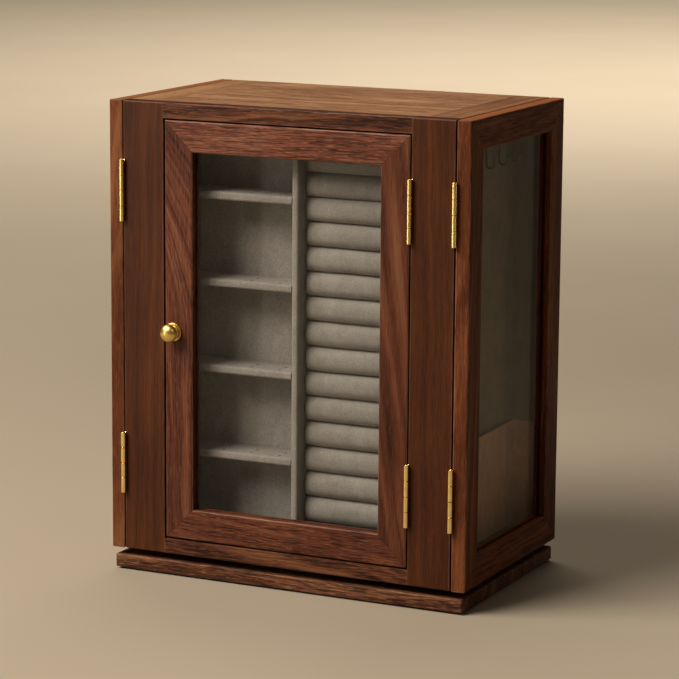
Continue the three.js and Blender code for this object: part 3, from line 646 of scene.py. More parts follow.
brass = metal("polished_brass", ("#fae29c", "#efcf7e", "#a87c36"), rough=0.13, scratch=0.01,
              level=0.3, upright=3.0, depth=0.003)
satin_brass = metal("satin_brass", ("#e8cb7c", "#d9b463", "#ab813e"), rough=0.27)
zinc = metal("zinc_plated_steel", ("#b9bab8", "#a3a5a4", "#7f807e"), rough=0.38, scratch=0.2)
nickel = metal("nickel_plated_steel", ("#cfcdc8", "#bdbbb6", "#8f8d89"), rough=0.24)
for node in ("bearing_lower_plate", "bearing_upper_plate", "bearing_ball_cage"):
    dress(node, zinc)
for node in ("front_door_magnet", "left_door_magnet", "right_door_magnet", "knob_screw"):
    dress(node, nickel)
foot_rubber = rubber("foot_rubber")
for side in ("left", "right"):
    for end in ("front", "back"):
        dress(f"{end}_{side}_foot", foot_rubber)
print("finishes:", len(bpy.data.materials))

# %% [markdown]
# ## Boards with rounded arrises
#
# The CAD boards have knife edges. A maker takes them off with one pass of sandpaper, and the small
# round is what catches a thin line of light along every board. Each board is copied from its CAD
# node, its loose triangles are merged and its flat faces joined up again, and a bevel rounds the
# long outer arrises. Mitres stay sharp, because a door is sanded after it is glued. The lid's
# three boards are made in the place of the one CAD board, with the same outer size.

# %% From a shape to a piece
SAME_PLACE = 1e-6


def smooth(piece, angle):
    """Smooth shading, with edges sharper than the angle left sharp."""
    piece.data.shade_smooth()
    piece.data.set_sharp_from_angle(angle=math.radians(angle))
    return piece


def face_out(shape):
    """Turns the faces of every closed part of a shape outwards, by the sign of its volume."""
    bmesh.ops.recalc_face_normals(shape, faces=shape.faces[:])
    left = set(shape.faces)
    while left:
        part, waiting = [], [left.pop()]
        while waiting:
            part.append(waiting.pop())
            touching = {face for edge in part[-1].edges for face in edge.link_faces} & left
            left -= touching
            waiting += touching
        volume = 0
        for face in part:
            first, *others = (vert.co for vert in face.verts)
            volume += sum(first.dot(a.cross(b)) for a, b in zip(others, others[1:]))
        if volume < 0:
            bmesh.ops.reverse_faces(shape, faces=part)


def add_piece(name, body, shape, material, angle=35):
    """Turns a bmesh into a piece that rides on a body."""
    many_sided = [face for face in shape.faces if len(face.verts) > 4]
    bmesh.ops.triangulate(shape, faces=many_sided, ngon_method="BEAUTY")
    bmesh.ops.dissolve_degenerate(shape, dist=SAME_PLACE, edges=shape.edges[:])
    face_out(shape)
    mesh = bpy.data.meshes.new(name)
    shape.to_mesh(mesh)
    shape.free()
    mesh.materials.append(material)
    piece = new_object(name, mesh)
    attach(piece, body)
    return smooth(piece, angle)


# %% Boards
BOARD_EASE, LID_EASE = 0.0005, 0.0002


def merged(node):
    """A CAD node's shape with its loose triangles merged and its flat faces whole."""
    shape = bmesh.new()
    shape.from_mesh(frame["nodes"][node].data)
    bmesh.ops.remove_doubles(shape, verts=shape.verts[:], dist=SAME_PLACE)
    flat = math.radians(2)
    bmesh.ops.dissolve_limit(shape, angle_limit=flat, verts=shape.verts[:], edges=shape.edges[:])
    return shape


def round_arrises(shape, ease, shortest=0.004):
    """Rounds the long outer edges that run along an axis."""
    arrises = []
    for edge in shape.edges:
        way = edge.verts[1].co - edge.verts[0].co
        long_and_straight = way.length > shortest and max(map(abs, way)) > 0.9999 * way.length
        if long_and_straight and edge.is_convex and edge.calc_face_angle() > math.radians(60):
            arrises.append(edge)
    bmesh.ops.bevel(
        shape, geom=arrises, offset=ease, segments=4, profile=0.5, affect="EDGES",
        clamp_overlap=True)
    return shape


def plain_board(low, high):
    """A board with sharp edges between two corners."""
    shape = bmesh.new()
    bmesh.ops.create_cube(shape, size=1)
    for vert in shape.verts:
        vert.co = Vector(h if c > 0 else l for c, l, h in zip(vert.co, low, high))
    return shape


def body_of(board):
    """The body that a board rides on: the name of a door's board starts with the door's."""
    if board == "base_plate":
        return "base"
    start = "_".join(board.split("_")[:2])
    return start if start in frame["bodies"] else "cabinet"


for board, finish in board_finishes.items():
    if board in lid_boxes:
        shape, replaced = round_arrises(plain_board(*lid_boxes[board]), LID_EASE), "top_panel"
    else:
        shape, replaced = round_arrises(merged(board), BOARD_EASE), board
    piece = add_piece(board + "_wood", body_of(board), shape, finish, angle=1)
    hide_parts(replaced)
print("boards with rounded arrises:", len(board_finishes))

# %% [markdown]
# The flocked boards get soft arrises too, wider than the wood's, because the felt wraps round the
# edge and thickens it. Only the long edges are rounded. The small holes in the shelves stay as
# they are.

# %% Flocked boards
FLOCK_EASE = 0.0008
shelves = [f"earring_shelf_{i}" for i in (1, 2, 3, 4)]
for board in ("divider", *shelves):
    shape = round_arrises(merged(board), FLOCK_EASE, shortest=0.01)
    piece = add_piece(board + "_flock", "cabinet", shape, flock, angle=30)
    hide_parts(board)
print("flocked boards:", 1 + len(shelves))

# %% [markdown]
# ## Ring rolls
#
# The right half of the front compartment is a board with 17 soft rolls, one above the other, and
# the tight seams between them grip what is pushed in. The real board is a strip of velvet tucked
# into slots between foam tubes, so every roll is a full arch in section, the seams are deep and
# dark, and the ends are rounded where the velvet turns round the foam.
#
# All rolls follow one rule, so Geometry Nodes make the board from its sizes: a block with many
# points on its front is shaped by a formula. Points crowd towards each seam, where the surface
# turns fastest. Slow noise lets the velvet wander as hand-tucked cloth does, and quick noise near
# the seams makes the small puckers. The tubes in the middle of the board have been pushed up a
# little, 2.5 mm at most, which a half sine along the height gives.

# %% Recipes for Geometry Nodes
class Recipe(Bench):
    """A Geometry Nodes tree with named inputs; what it makes is realized and gets a material."""

    SOCKETS = {int: "NodeSocketInt", float: "NodeSocketFloat", tuple: "NodeSocketVector"}

    def __init__(self, name, sizes):
        super().__init__(bpy.data.node_groups.new(name, "GeometryNodeTree"))
        interface = self.tree.interface
        interface.new_socket("Geometry", in_out="INPUT", socket_type="NodeSocketGeometry")
        interface.new_socket("Geometry", in_out="OUTPUT", socket_type="NodeSocketGeometry")
        for label, value in sizes.items():
            kind = self.SOCKETS[type(value)]
            socket = interface.new_socket(label, in_out="INPUT", socket_type=kind)
            socket.default_value = value
        self.inputs = self.add("NodeGroupInput")

    def size(self, label):
        """One of the named inputs, as a wire."""
        return self.inputs.output(label)

    def point(self, x, y, z):
        return self.add("ShaderNodeCombineXYZ", values={0: x, 1: y, 2: z})

    def noise(self, x, y, z):
        """Noise from 0 to 1 over three wires or numbers."""
        values = {"Vector": self.point(x, y, z), "Scale": 1.0, "Detail": 1.0}
        return self.add("ShaderNodeTexNoise", values=values)

    def close(self, shape, material):
        """Ends the tree with its result realized and in its material."""
        shape = self.add("GeometryNodeRealizeInstances", values={"Geometry": shape})
        values = {"Geometry": shape, "Material": material}
        shape = self.add("GeometryNodeSetMaterial", values=values)
        self.add("NodeGroupOutput", values={"Geometry": shape})


def made_by(recipe, name, sizes=None, start=None):
    """Runs a recipe on a start mesh and returns the result as an object with a plain mesh."""
    piece = new_object(name, start or bpy.data.meshes.new(name))
    modifier = piece.modifiers.new("recipe", "NODES")
    modifier.node_group = recipe.tree
    for item in recipe.tree.interface.items_tree:
        if item.in_out == "INPUT" and item.name in (sizes or {}):
            modifier[item.identifier] = sizes[item.name]
    bpy.context.view_layer.update()
    evaluated = piece.evaluated_get(bpy.context.evaluated_depsgraph_get())
    grown = bpy.data.meshes.new_from_object(evaluated)
    piece.modifiers.clear()
    piece.data = grown
    return piece


# %% The ring-roll recipe
ROLLS, CROWN = 17, 0.008


def ring_roll_recipe():
    """The whole board of rolls, from its sizes alone."""
    r = Recipe("ring rolls", {
        "Rolls": ROLLS, "Rows a roll": 22, "Columns": 96, "Pitch": 0.0153, "Width": 0.077,
        "Board": 0.008, "Crown": CROWN, "Lift": 0.0025, "End drop": 0.0032, "End length": 0.006,
        "Wander": 0.0005, "Pucker": 0.0009, "Sway": 0.0011, "Seed": 1.0})
    height = r.size("Pitch") * r.size("Rolls")
    depth = r.size("Board") + r.size("Crown")
    rows = r.size("Rolls") * r.size("Rows a roll") + 1
    block = r.add("GeometryNodeMeshCube", values={
        "Size": r.point(r.size("Width"), depth, height),
        "Vertices X": r.size("Columns"), "Vertices Y": 2, "Vertices Z": rows})
    at = r.add("ShaderNodeSeparateXYZ", values={0: r.add("GeometryNodeInputPosition")})
    x, y, z = at, at.output("Y"), at.output("Z")

    # Which roll a point is on, and its place on it, crowded towards the seams at -1 and 1.
    turns = (z + height / 2) / r.size("Pitch") + 0.00001
    number = turns.floor()
    crowded = (((turns - number) * 2 - 1) * (math.pi / 2)).sine()
    near_seam = abs(crowded)

    # The arch of a roll, its rounded ends and the waves of its velvet.
    crown = (1 - near_seam ** 2.4).most(0) ** (1 / 2.4)
    from_end = ((r.size("Width") / 2 - abs(x)) / r.size("End length")).least(1)
    rounding = (1 - (1 - from_end) ** 2).most(0) ** 0.5
    full = r.size("Crown") - r.size("End drop") * (1 - rounding)
    slow = r.noise(x * 45, number * 7.3 + r.size("Seed"), z * 30) - 0.5
    quick = r.noise(x * 420, number * 3.1 + r.size("Seed"), z * 60) - 0.5
    wander = slow * r.size("Wander")
    pucker = quick * near_seam ** 3 * r.size("Pucker")
    front = y + r.size("Crown") - (full + wander + pucker * rounding) * crown

    # The height of a point, with the rolls pushed up in the middle of the board.
    even = (number + 0.5 + crowded / 2) / r.size("Rolls")
    middle = (even * math.pi).sine()
    sway = (r.noise(x * 28, even * 40 + r.size("Seed"), 0.0) - 0.5) * r.size("Sway")
    level = even * height + middle * r.size("Lift") - height / 2
    level = level + sway * middle + wander * (1 - near_seam) * 0.8

    less = {"operation": "LESS_THAN"}
    is_front = r.add("FunctionNodeCompare", less, {"A": y, "B": 0.0}, output="Result")
    shape = r.add("GeometryNodeSetPosition", values={
        "Geometry": block, "Selection": is_front, "Position": r.point(x, front, level)})
    r.close(shape, velvet)
    return r


# %% The board of ring rolls
low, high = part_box("ring_roll_pad")
width, depth, height = high.x - low.x, high.y - low.y, high.z - low.z
sizes = {"Pitch": height / ROLLS, "Width": width, "Board": depth - CROWN}
rolls = made_by(ring_roll_recipe(), "ring_rolls", sizes)
rolls.data.transform(Matrix.Translation((low + high) / 2))
smooth(rolls, 60)
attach(rolls, "cabinet")
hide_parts("ring_roll_pad")
print("ring rolls:", len(rolls.data.polygons), "faces")

# %% [markdown]
# ## Hooks
#
# Under the top of each side compartment runs a narrow metal strip with six wire hooks. On such a
# strip each hook is one bent wire, riveted through. The bend could be drawn six times, but all
# hooks are equal, so its path is drawn once, and Geometry Nodes sweep a round wire along it and
# set it on points at even steps. A rivet head and a rounded tip finish each hook. The metal is
# painted as a dark brass, which stands in for the shade that the hooks hang in.

# %% A path to sweep along
def path_mesh(name, points):
    """A line through points, as a mesh that a recipe can turn into a curve."""
    mesh = bpy.data.meshes.new(name)
    steps = [(i, i + 1) for i in range(len(points) - 1)]
    mesh.from_pydata([tuple(point) for point in points], steps, [])
    return mesh


def hook_path(drop, bend, tip, steps=14):
    """Down the stem, round the bend towards +X and up the tip."""
    turn = [math.pi * (1 + i / steps) for i in range(steps + 1)]
    low = [(bend + bend * math.cos(a), 0, bend * math.sin(a) - drop) for a in turn]
    return [(0, 0, 0), (0, 0, -drop / 2), *low, (2 * bend, 0, tip - drop)]


# %% The hook recipe
HOOKS, HOOK_PITCH = 6, 0.02
# A dark brass: painted shade for the hooks and strips in the shadow under the top.
shade_dark_brass = metal("aged_brass", ("#6f5530", "#4d3a21", "#2b2114"), rough=0.32, scratch=0.2)


def hook_recipe():
    """A row of hooks along +Y from the bent line that the recipe starts with."""
    r = Recipe("hooks", {
        "Hooks": HOOKS, "Pitch": HOOK_PITCH, "Wire": 0.00075, "Rivet": 0.0015,
        "Tip": (0.0, 0.0, 0.0)})
    path = r.add("GeometryNodeMeshToCurve", values={"Mesh": r.size("Geometry")})
    section = r.add("GeometryNodeCurvePrimitiveCircle", values={
        "Resolution": 12, "Radius": r.size("Wire")})
    wire = r.add("GeometryNodeCurveToMesh", values={
        "Curve": path, "Profile Curve": section, "Fill Caps": True})
    ball = r.add("GeometryNodeMeshUVSphere", values={
        "Segments": 12, "Rings": 8, "Radius": r.size("Wire") * 1.2})
    ball = r.add("GeometryNodeSetPosition", values={"Geometry": ball, "Offset": r.size("Tip")})
    rivet = r.add("GeometryNodeMeshUVSphere", values={
        "Segments": 16, "Rings": 8, "Radius": r.size("Rivet")})
    rivet = r.add("GeometryNodeTransform", values={"Geometry": rivet, "Scale": (1, 1, 0.45)})
    hook = r.add("GeometryNodeJoinGeometry")
    for part in (wire, ball, rivet):
        r.tree.links.new(part.socket, hook.node.inputs[0])
    row = r.add("GeometryNodeMeshLine", {"mode": "OFFSET"}, {
        "Count": r.size("Hooks"), "Offset": r.point(0.0, r.size("Pitch"), 0.0)})
    hooks = r.add("GeometryNodeInstanceOnPoints", values={"Points": row, "Instance": hook})
    r.close(hooks, shade_dark_brass)
    return r


# %% Two strips with their hooks
HOOK_DROP, HOOK_BEND, HOOK_TIP = 0.0248, 0.0025, 0.003
PLATE_WIDTH, PLATE_THICK = 0.005, 0.0012


def board_between(low, high, ease=0.0004):
    """A board between two corners with eased edges."""
    board = plain_board(low, high)
    bmesh.ops.bevel(
        board, geom=board.edges[:], offset=ease, segments=2, affect="EDGES", profile=0.7)
    return board


hooks = hook_recipe()
path = hook_path(HOOK_DROP, HOOK_BEND, HOOK_TIP)
for side, sign in (("left", -1), ("right", 1)):
    low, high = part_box(f"{side}_hook_strip")
    wall = low.x if sign > 0 else high.x
    underside = high.z - PLATE_THICK
    row = made_by(hooks, f"{side}_hooks", {"Tip": path[-1]}, path_mesh(f"{side}_hook_path", path))
    half_row = (HOOKS - 1) * HOOK_PITCH / 2
    first = Vector((wall + sign * PLATE_WIDTH / 2, -sign * half_row, underside))
    turn = Matrix.Rotation(math.pi, 4, "Z") if sign < 0 else Matrix.Identity(4)
    row.data.transform(Matrix.Translation(first) @ turn)
    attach(smooth(row, 50), "cabinet")
    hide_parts(f"{side}_hook_strip")
    near, far = sorted((wall, wall + sign * PLATE_WIDTH))
    plate = board_between((near, low.y, underside), (far, high.y, high.z))
    add_piece(f"{side}_hook_plate", "cabinet", plate, shade_dark_brass)
    print(side, "hooks:", HOOKS, "faces:", len(row.data.polygons))

# %% [markdown]
# ## Cloth pockets
#
# The lower part of each side compartment is lined with a flat cloth pocket, open at its top. The
# cloth is sewn down at its foot and its ends, and a doubled hem with a line of stitches holds its
# mouth straight. The same cloth goes on round the corners as a low lining of the end walls. A
# simulation of so flat and tight a pocket would hardly move, so the cloth is bent along its rule:
# a shallow bow out from the wall, with slack ripples that fade towards every sewn edge.

# %% The bowed cloth
POCKET_CLOTH = 0.001
SLACK = 0.22


def bowed(bow, s):
    """How far the cloth stands out at a share s of the way along it."""
    return bow * (1 - (2 * s - 1) ** 2)


def ripple(s, t, seed):
    """Slack in the cloth at a share s along and t up, in millimetres."""
    if t >= 1:
        return 0
    free = math.sin(math.pi * s) * math.sin(math.pi * min(t * 1.15, 1) * 0.5) * (1 - t) ** 0.3
    waves = math.sin(17 * s + 3 * t + seed) + 0.6 * math.sin(31 * s - 5 * t + 2 * seed)
    waves += 0.4 * math.sin(9 * s + 11 * t)
    return SLACK * free * waves


def cloth_rows(wall, sign, low, high, bow, seed, columns=90, rows=34):
    """Front and back points of a bowed cloth, row by row; low and high are (y, z) in metres."""
    front, back = [], []
    for j in range(rows + 1):
        t = j / rows
        line_front, line_back = [], []
        for i in range(columns + 1):
            s = i / columns
            gap = max(bowed(bow, s) + ripple(s, t, seed) * MM, 0)
            y, z = low[0] + (high[0] - low[0]) * s, low[1] + (high[1] - low[1]) * t
            line_front.append((wall + sign * (gap + POCKET_CLOTH), y, z))
            line_back.append((wall + sign * gap, y, z))
        front.append(line_front)
        back.append(line_back)
    return front, back


def skin_between(front, back):
    """A closed shell from two equal grids of points."""
    shell = bmesh.new()
    grids = [[[shell.verts.new(p) for p in line] for line in grid] for grid in (front, back)]
    rows, columns = len(front) - 1, len(front[0]) - 1
    for g in grids:
        for j in range(rows):
            for i in range(columns):
                shell.faces.new((g[j][i], g[j][i + 1], g[j + 1][i + 1], g[j + 1][i]))
    a, b = grids
    for j in range(rows):
        for i in (0, columns):
            shell.faces.new((a[j][i], a[j + 1][i], b[j + 1][i], b[j][i]))
    for i in range(columns):
        for j in (0, rows):
            shell.faces.new((a[j][i], a[j][i + 1], b[j][i + 1], b[j][i]))
    return shell


# %% Hem and stitches
HEM, HEM_PROUD = 0.006, 0.0006
THREAD, SEAM_RISE = 0.00022, 0.0012
grey_thread = napped("grey_thread", ("#6a5c4e", "#8a7a69", "#a39483"), sheen=0.3, fibre_size=0.15)


def mouth_line(box, wall, sign, bow, steps):
    """Points along a pocket's mouth, on the outside of its hem."""
    low, high = box
    line = []
    for i in range(steps + 1):
        out = POCKET_CLOTH + bowed(bow, i / steps) + HEM_PROUD
        line.append(Vector((wall + sign * out, low.y + (high.y - low.y) * i / steps, high.z)))
    return line


def hem_tube(line, sign, around=15):
    """A flat closed tube of cloth that hangs from a line."""
    tube = bmesh.new()
    loops = []
    for x, y, z in line:
        loop = []
        for k in range(around):
            tall, thick = math.sin(math.tau * k / around), math.cos(math.tau * k / around)
            up = math.copysign(abs(tall) ** 0.5, tall)
            out = math.copysign(abs(thick) ** 0.7, thick) * 1.2
            place = (x + sign * HEM_PROUD * (out - 1), y, z + HEM / 2 * (up - 1))
            loop.append(tube.verts.new(place))
        loops.append(loop)
    for a, b in zip(loops, loops[1:]):
        for k in range(around):
            tube.faces.new((a[k - 1], a[k], b[k], b[k - 1]))
    tube.faces.new(loops[0])
    tube.faces.new(loops[-1])
    return tube


def stitch_recipe():
    """Stitches at even steps along the line that the recipe starts with."""
    r = Recipe("running stitches", {"Pitch": 0.0028, "Thread": THREAD, "Stretch": 4.0})
    path = r.add("GeometryNodeMeshToCurve", values={"Mesh": r.size("Geometry")})
    spots = r.add("GeometryNodeCurveToPoints", {"mode": "LENGTH"}, {
        "Curve": path, "Length": r.size("Pitch")})
    stitch = r.add("GeometryNodeMeshIcoSphere", values={
        "Radius": r.size("Thread"), "Subdivisions": 2})
    laid = r.add("GeometryNodeInstanceOnPoints", values={
        "Points": spots, "Instance": stitch, "Rotation": spots.output("Rotation"),
        "Scale": r.point(1.0, 1.0, r.size("Stretch"))})
    r.close(laid, grey_thread)
    return r


# %% Two pockets
MOUTH_GAP = 0.0004
stitches = stitch_recipe()
for side, sign, seed in (("left", -1, 0.7), ("right", 1, 2.7)):
    low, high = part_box(f"{side}_pocket")
    wall = low.x if sign > 0 else high.x
    bow = high.x - low.x - POCKET_CLOTH - HEM_PROUD
    points = cloth_rows(wall, sign, (low.y, low.z), (high.y, high.z - MOUTH_GAP), bow, seed)
    pocket = add_piece(f"{side}_cloth_pocket", "cabinet", skin_between(*points), pocket_cloth, 60)
    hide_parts(f"{side}_pocket")

    hem = hem_tube(mouth_line((low, high), wall, sign, bow, steps=60), sign)
    hem_piece = add_piece(f"{side}_pocket_hem", "cabinet", hem, pocket_cloth, 60)
    to_seam = Vector((sign * THREAD, 0, SEAM_RISE - HEM))
    seam = [point + to_seam for point in mouth_line((low, high), wall, sign, bow, steps=80)[1:-1]]
    row = made_by(stitches, f"{side}_pocket_stitches", start=path_mesh(f"{side}_seam", seam))
    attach(smooth(row, 60), "cabinet")
    print(side, "pocket cloth:", len(pocket.data.polygons), "faces")

# %% [markdown]
# ## Linings
#
# Flocked paper is glued to every inside face that would show bare wood: floor, ceiling and ends of
# the side compartments, and floor and ceiling of the front one. It is 0.3 mm thick. One mesh holds
# all of these linings, with eased edges so that they catch a little light. A second one holds the
# pocket cloth on the end walls, as high as the pockets.

# %% Linings
LINING, LINING_EASE = 0.0003, 0.0001
CLEAR = LINING * 1.1  # keeps neighbouring linings from sharing an edge
END_CLOTH, END_CLOTH_EASE = 0.0008, 0.0003
WALL_GAP, DOOR_GAP = 0.0001, 0.0015


def joined(shapes):
    """Several bmeshes as one."""
    whole = bmesh.new()
    for shape in shapes:
        loose = bpy.data.meshes.new("part")
        shape.to_mesh(loose)
        shape.free()
        whole.from_mesh(loose)
        bpy.data.meshes.remove(loose)
    return whole


inner_x, wall_x = sorted((abs(wall_low.x), abs(wall_high.x)))
floor_z, ceiling_z, front_y, back_y = wall_low.z, wall_high.z, wall_low.y, wall_high.y
levels = (floor_z, ceiling_z - LINING)
pocket_low, pocket_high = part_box("right_pocket")
cloth_top = floor_z + pocket_high.z - pocket_low.z
divider_low, divider_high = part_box("divider")
shelf_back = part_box("display_back")[0].y
linings, end_cloths = [], []
for sign in (-1, 1):
    near, far = sorted((sign * (wall_x + WALL_GAP), sign * (lid_high.x - DOOR_GAP)))
    for z in levels:
        corners = (near, front_y + CLEAR, z), (far, back_y - CLEAR, z + LINING)
        linings.append(board_between(*corners, LINING_EASE))
    for y in (front_y, back_y - LINING):
        corners = (near, y, floor_z), (far, y + LINING, ceiling_z)
        linings.append(board_between(*corners, LINING_EASE))
    for y in (front_y + LINING, back_y - LINING - END_CLOTH):
        corners = (near, y, floor_z + LINING), (far, y + END_CLOTH, cloth_top)
        end_cloths.append(board_between(*corners, END_CLOTH_EASE))
for z in levels:
    for left, right in ((-inner_x, divider_low.x), (divider_high.x, inner_x)):
        corners = (left, front_y, z), (right, shelf_back, z + LINING)
        linings.append(board_between(*corners, LINING_EASE))
lining = add_piece("compartment_linings", "cabinet", joined(linings), flock)
low_lining = add_piece("pocket_end_linings", "cabinet", joined(end_cloths), pocket_cloth)
print("linings:", len(lining.data.polygons), "faces")

# %% [markdown]
# ## The knob
#
# A small brass knob screws to the front door: a flat rose, a narrow neck and a domed head, turned
# on a lathe in one piece. A lathe is what it is made on, so a profile spun round the axis makes it
# here, with rounded edges at the rose and under the head that catch thin lines of light.

# %% Knob
ROSE_THICK, ROSE_TAPER, ROSE_EDGE, ROSE_COVE = 0.0011, 0.0002, 0.0005, 0.0012
NECK_RADIUS, NECK_END, NECK_COVE = 0.0031, 0.0034, 0.0010
HEAD_RADIUS, DOME_HEIGHT = 0.0056, 0.0038


def turned_shape(profile, axis_point, steps=72):
    """Spins a profile of (radius, distance along -Y) round an axis along Y."""
    shape = bmesh.new()
    x, y, z = axis_point
    turns = [math.tau * k / steps for k in range(steps)]
    loops = []
    for radius, out in profile:
        ring = [(x + radius * math.cos(a), y - out, z + radius * math.sin(a)) for a in turns]
        if radius < SAME_PLACE:
            ring = [(x, y - out, z)]
        loops.append([shape.verts.new(place) for place in ring])
    for a, b in zip(loops, loops[1:]):
        for k in range(steps):
            ring = [a[k % len(a)], a[(k + 1) % len(a)], b[(k + 1) % len(b)], b[k % len(b)]]
            shape.faces.new(list(dict.fromkeys(ring)))
    return shape


def arc(centre, radius, start, stop, steps, height=None):
    """Points of (radius, out) on an arc, in degrees from straight out sideways."""
    turns = [math.radians(start + (stop - start) * i / steps) for i in range(steps + 1)]
    sideways, out = centre
    height = height or radius
    return [(sideways + radius * math.cos(a), out + height * math.sin(a)) for a in turns]


low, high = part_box("front_door_knob")
door_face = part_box("front_door_knob_stile")[0].y
hub = ((low.x + high.x) / 2, door_face, (low.z + high.z) / 2)
rose, reach = (high.x - low.x) / 2, door_face - low.y
profile = [(0, 0), (rose - ROSE_TAPER, 0)]
profile += arc((rose - ROSE_EDGE, ROSE_THICK - ROSE_EDGE), ROSE_EDGE, 0, 90, 6)
profile += arc((NECK_RADIUS + ROSE_COVE, ROSE_THICK + ROSE_COVE), ROSE_COVE, 270, 180, 8)
profile += arc((NECK_RADIUS + NECK_COVE, NECK_END), NECK_COVE, 180, 100, 6)
profile += arc((0, reach - DOME_HEIGHT), HEAD_RADIUS, -16, 90, 26, height=DOME_HEIGHT)
shape = turned_shape(profile, hub)
knob = add_piece("front_door_turned_knob", "front_door", shape, satin_brass, 50)
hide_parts("front_door_knob")
print("knob reach in mm:", round(reach / MM, 2))

# %% [markdown]
# ## Hinges
#
# Six brass butt hinges, 38 mm long. The CAD leaves have the right shape but sharp edges and a
# barrel with flat sides. Brass shows its shape by thin bright lines along edges, so each leaf is
# copied, its loose triangles are merged, flat faces are joined up again and a chamfer of 0.1 mm
# breaks every sharp edge. Smooth shading rounds the barrel but stops at the chamfers, so that the
# bright line on it runs straight from end to end. All leaves that ride on one body become one
# piece. Small domed tips finish the pins at both ends. A door's joint says where its pins are.

# %% Hinges
CHAMFER = 0.0001
PIN_TIP, TIP_GAP = 0.0006, 0.00005
hinge_pins = {joint["child"]: joint["pos_m"] for joint in frame["joints"]}


def softened(node):
    """A merged copy of a CAD node's shape with its sharp edges broken."""
    shape = merged(node)
    sharp = [e for e in shape.edges if e.is_manifold and e.calc_face_angle() > math.radians(40)]
    bmesh.ops.bevel(
        shape, geom=sharp, offset=CHAMFER, segments=1, affect="EDGES", clamp_overlap=True)
    return shape


def pin_of(node):
    """A point on a hinge's pin, from the joint of the door that the hinge carries."""
    return hinge_pins[node.split("_")[0] + "_door"]


def pin_tips(node):
    """Domed tips at both ends of a hinge's pin."""
    low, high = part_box(node)
    x, y = pin_of(node)[:2]
    shapes = []
    for end in (low.z - TIP_GAP, high.z + TIP_GAP):
        tip = bmesh.new()
        bmesh.ops.create_uvsphere(tip, u_segments=16, v_segments=10, radius=PIN_TIP)
        tip.transform(Matrix.Translation((x, y, end)) @ Matrix.Diagonal((1, 1, 0.4, 1)))
        shapes.append(tip)
    return shapes


hinge_nodes = [node for node in frame["nodes"] if "_hinge_" in node and node.endswith("_leaf")]
hinge_bodies = {"cabinet": [node for node in hinge_nodes if node.endswith("cabinet_leaf")]}
for door in DOORS:
    hinge_bodies[f"{door}_door"] = [
        node for node in hinge_nodes if node.startswith(door) and node.endswith("door_leaf")]
for body, nodes in hinge_bodies.items():
    shapes = [softened(node) for node in nodes]
    if body == "cabinet":
        shapes += [tip for node in nodes for tip in pin_tips(node)]
    leaves = add_piece(f"{body}_hinge_leaves", body, joined(shapes), brass, 30)
    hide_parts(*nodes)
    print(body, "hinge leaves:", len(nodes), "faces:", len(leaves.data.polygons))

# %% [markdown]
# ## Hinge screws and strike plates
#
# Each leaf is held by three small countersunk screws, which show when a door stands open. A head
# is a disc with a softened rim and a cross punched into it. It is built from rings of points, so
# that it closes exactly. Every copy is turned by another angle, because no one lines the crosses
# up. A thin steel strike plate is let into each door where it meets its magnet.

# %% A screw head
SCREW_THICK, SCREW_EASE = 0.0005, 0.00012
CROSS_WIDTH, CROSS_LENGTH, CROSS_DEPTH = 0.0004, 0.0019, 0.0003


def screw_head(radius=0.00155, around=28):
    """A screw head that looks along Z, with its top at 0."""
    a, b = CROSS_WIDTH / 2, CROSS_LENGTH / 2
    quarter = [Vector((b, -a, 0)), Vector((b, a, 0)), Vector((a, a, 0))]
    turns = [Matrix.Rotation(k * math.pi / 2, 3, "Z") for k in range(4)]
    cross = [turn @ point for turn in turns for point in quarter]
    angles = [math.tau * k / around for k in range(around)]
    circle = [Vector((math.cos(angle), math.sin(angle), 0)) for angle in angles]
    shape = bmesh.new()

    def ring(points, scale, level):
        return [shape.verts.new(point * scale + Vector((0, 0, level))) for point in points]

    top = ring(circle, radius - SCREW_EASE, 0)
    side = ring(circle, radius, -SCREW_EASE)
    foot = ring(circle, radius, -SCREW_THICK)
    mouth, bed = ring(cross, 1, 0), ring(cross, 1, -CROSS_DEPTH)
    for high, low in ((top, side), (side, foot), (mouth, bed)):
        for k in range(len(high)):
            shape.faces.new((high[k - 1], high[k], low[k], low[k - 1]))
    shape.faces.new(foot)
    shape.faces.new(bed)
    steps = [(rim[k - 1], rim[k]) for rim in (top, mouth) for k in range(len(rim))]
    border = [shape.edges.get(step) for step in steps]
    bmesh.ops.triangle_fill(shape, edges=border, use_beauty=True)
    return shape


# %% Screws in every leaf
SCREW_STEPS = (-0.0125, 0, 0.0125)
SCREW_FROM_EDGE = 0.0037
LEAF_FROM_PIN, SCREW_PROUD = 0.00015, 0.00004
CROSS_TURN = 2.4


def leaf_screws(node):
    """The three screws of a leaf, their heads a little proud of its open face."""
    low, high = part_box(node)
    pin_x = pin_of(node)[0]
    way = -1 if (low.x + high.x) / 2 > pin_x else 1
    top = pin_x - way * (LEAF_FROM_PIN - SCREW_PROUD)
    look = Matrix.Rotation(way * math.pi / 2, 4, "Y")
    heads = []
    for step in SCREW_STEPS:
        place = (top, high.y - SCREW_FROM_EDGE, (low.z + high.z) / 2 + step)
        turn = Matrix.Rotation(CROSS_TURN * (len(heads) + len(node)) + low.z / MM, 4, "Z")
        heads.append(screw_head())
        heads[-1].transform(Matrix.Translation(place) @ look @ turn)
    return heads


for body, nodes in hinge_bodies.items():
    heads = [head for node in nodes for head in leaf_screws(node)]
    screws = add_piece(f"{body}_hinge_screws", body, joined(heads), brass, 30)
    print(body, "screws:", len(heads), "faces:", len(screws.data.polygons))


# %% Strike plates
STRIKE_RADIUS, STRIKE_THICK = 0.003, 0.0008
STRIKE_PROUD, STRIKE_EASE = 0.0001, 0.00012


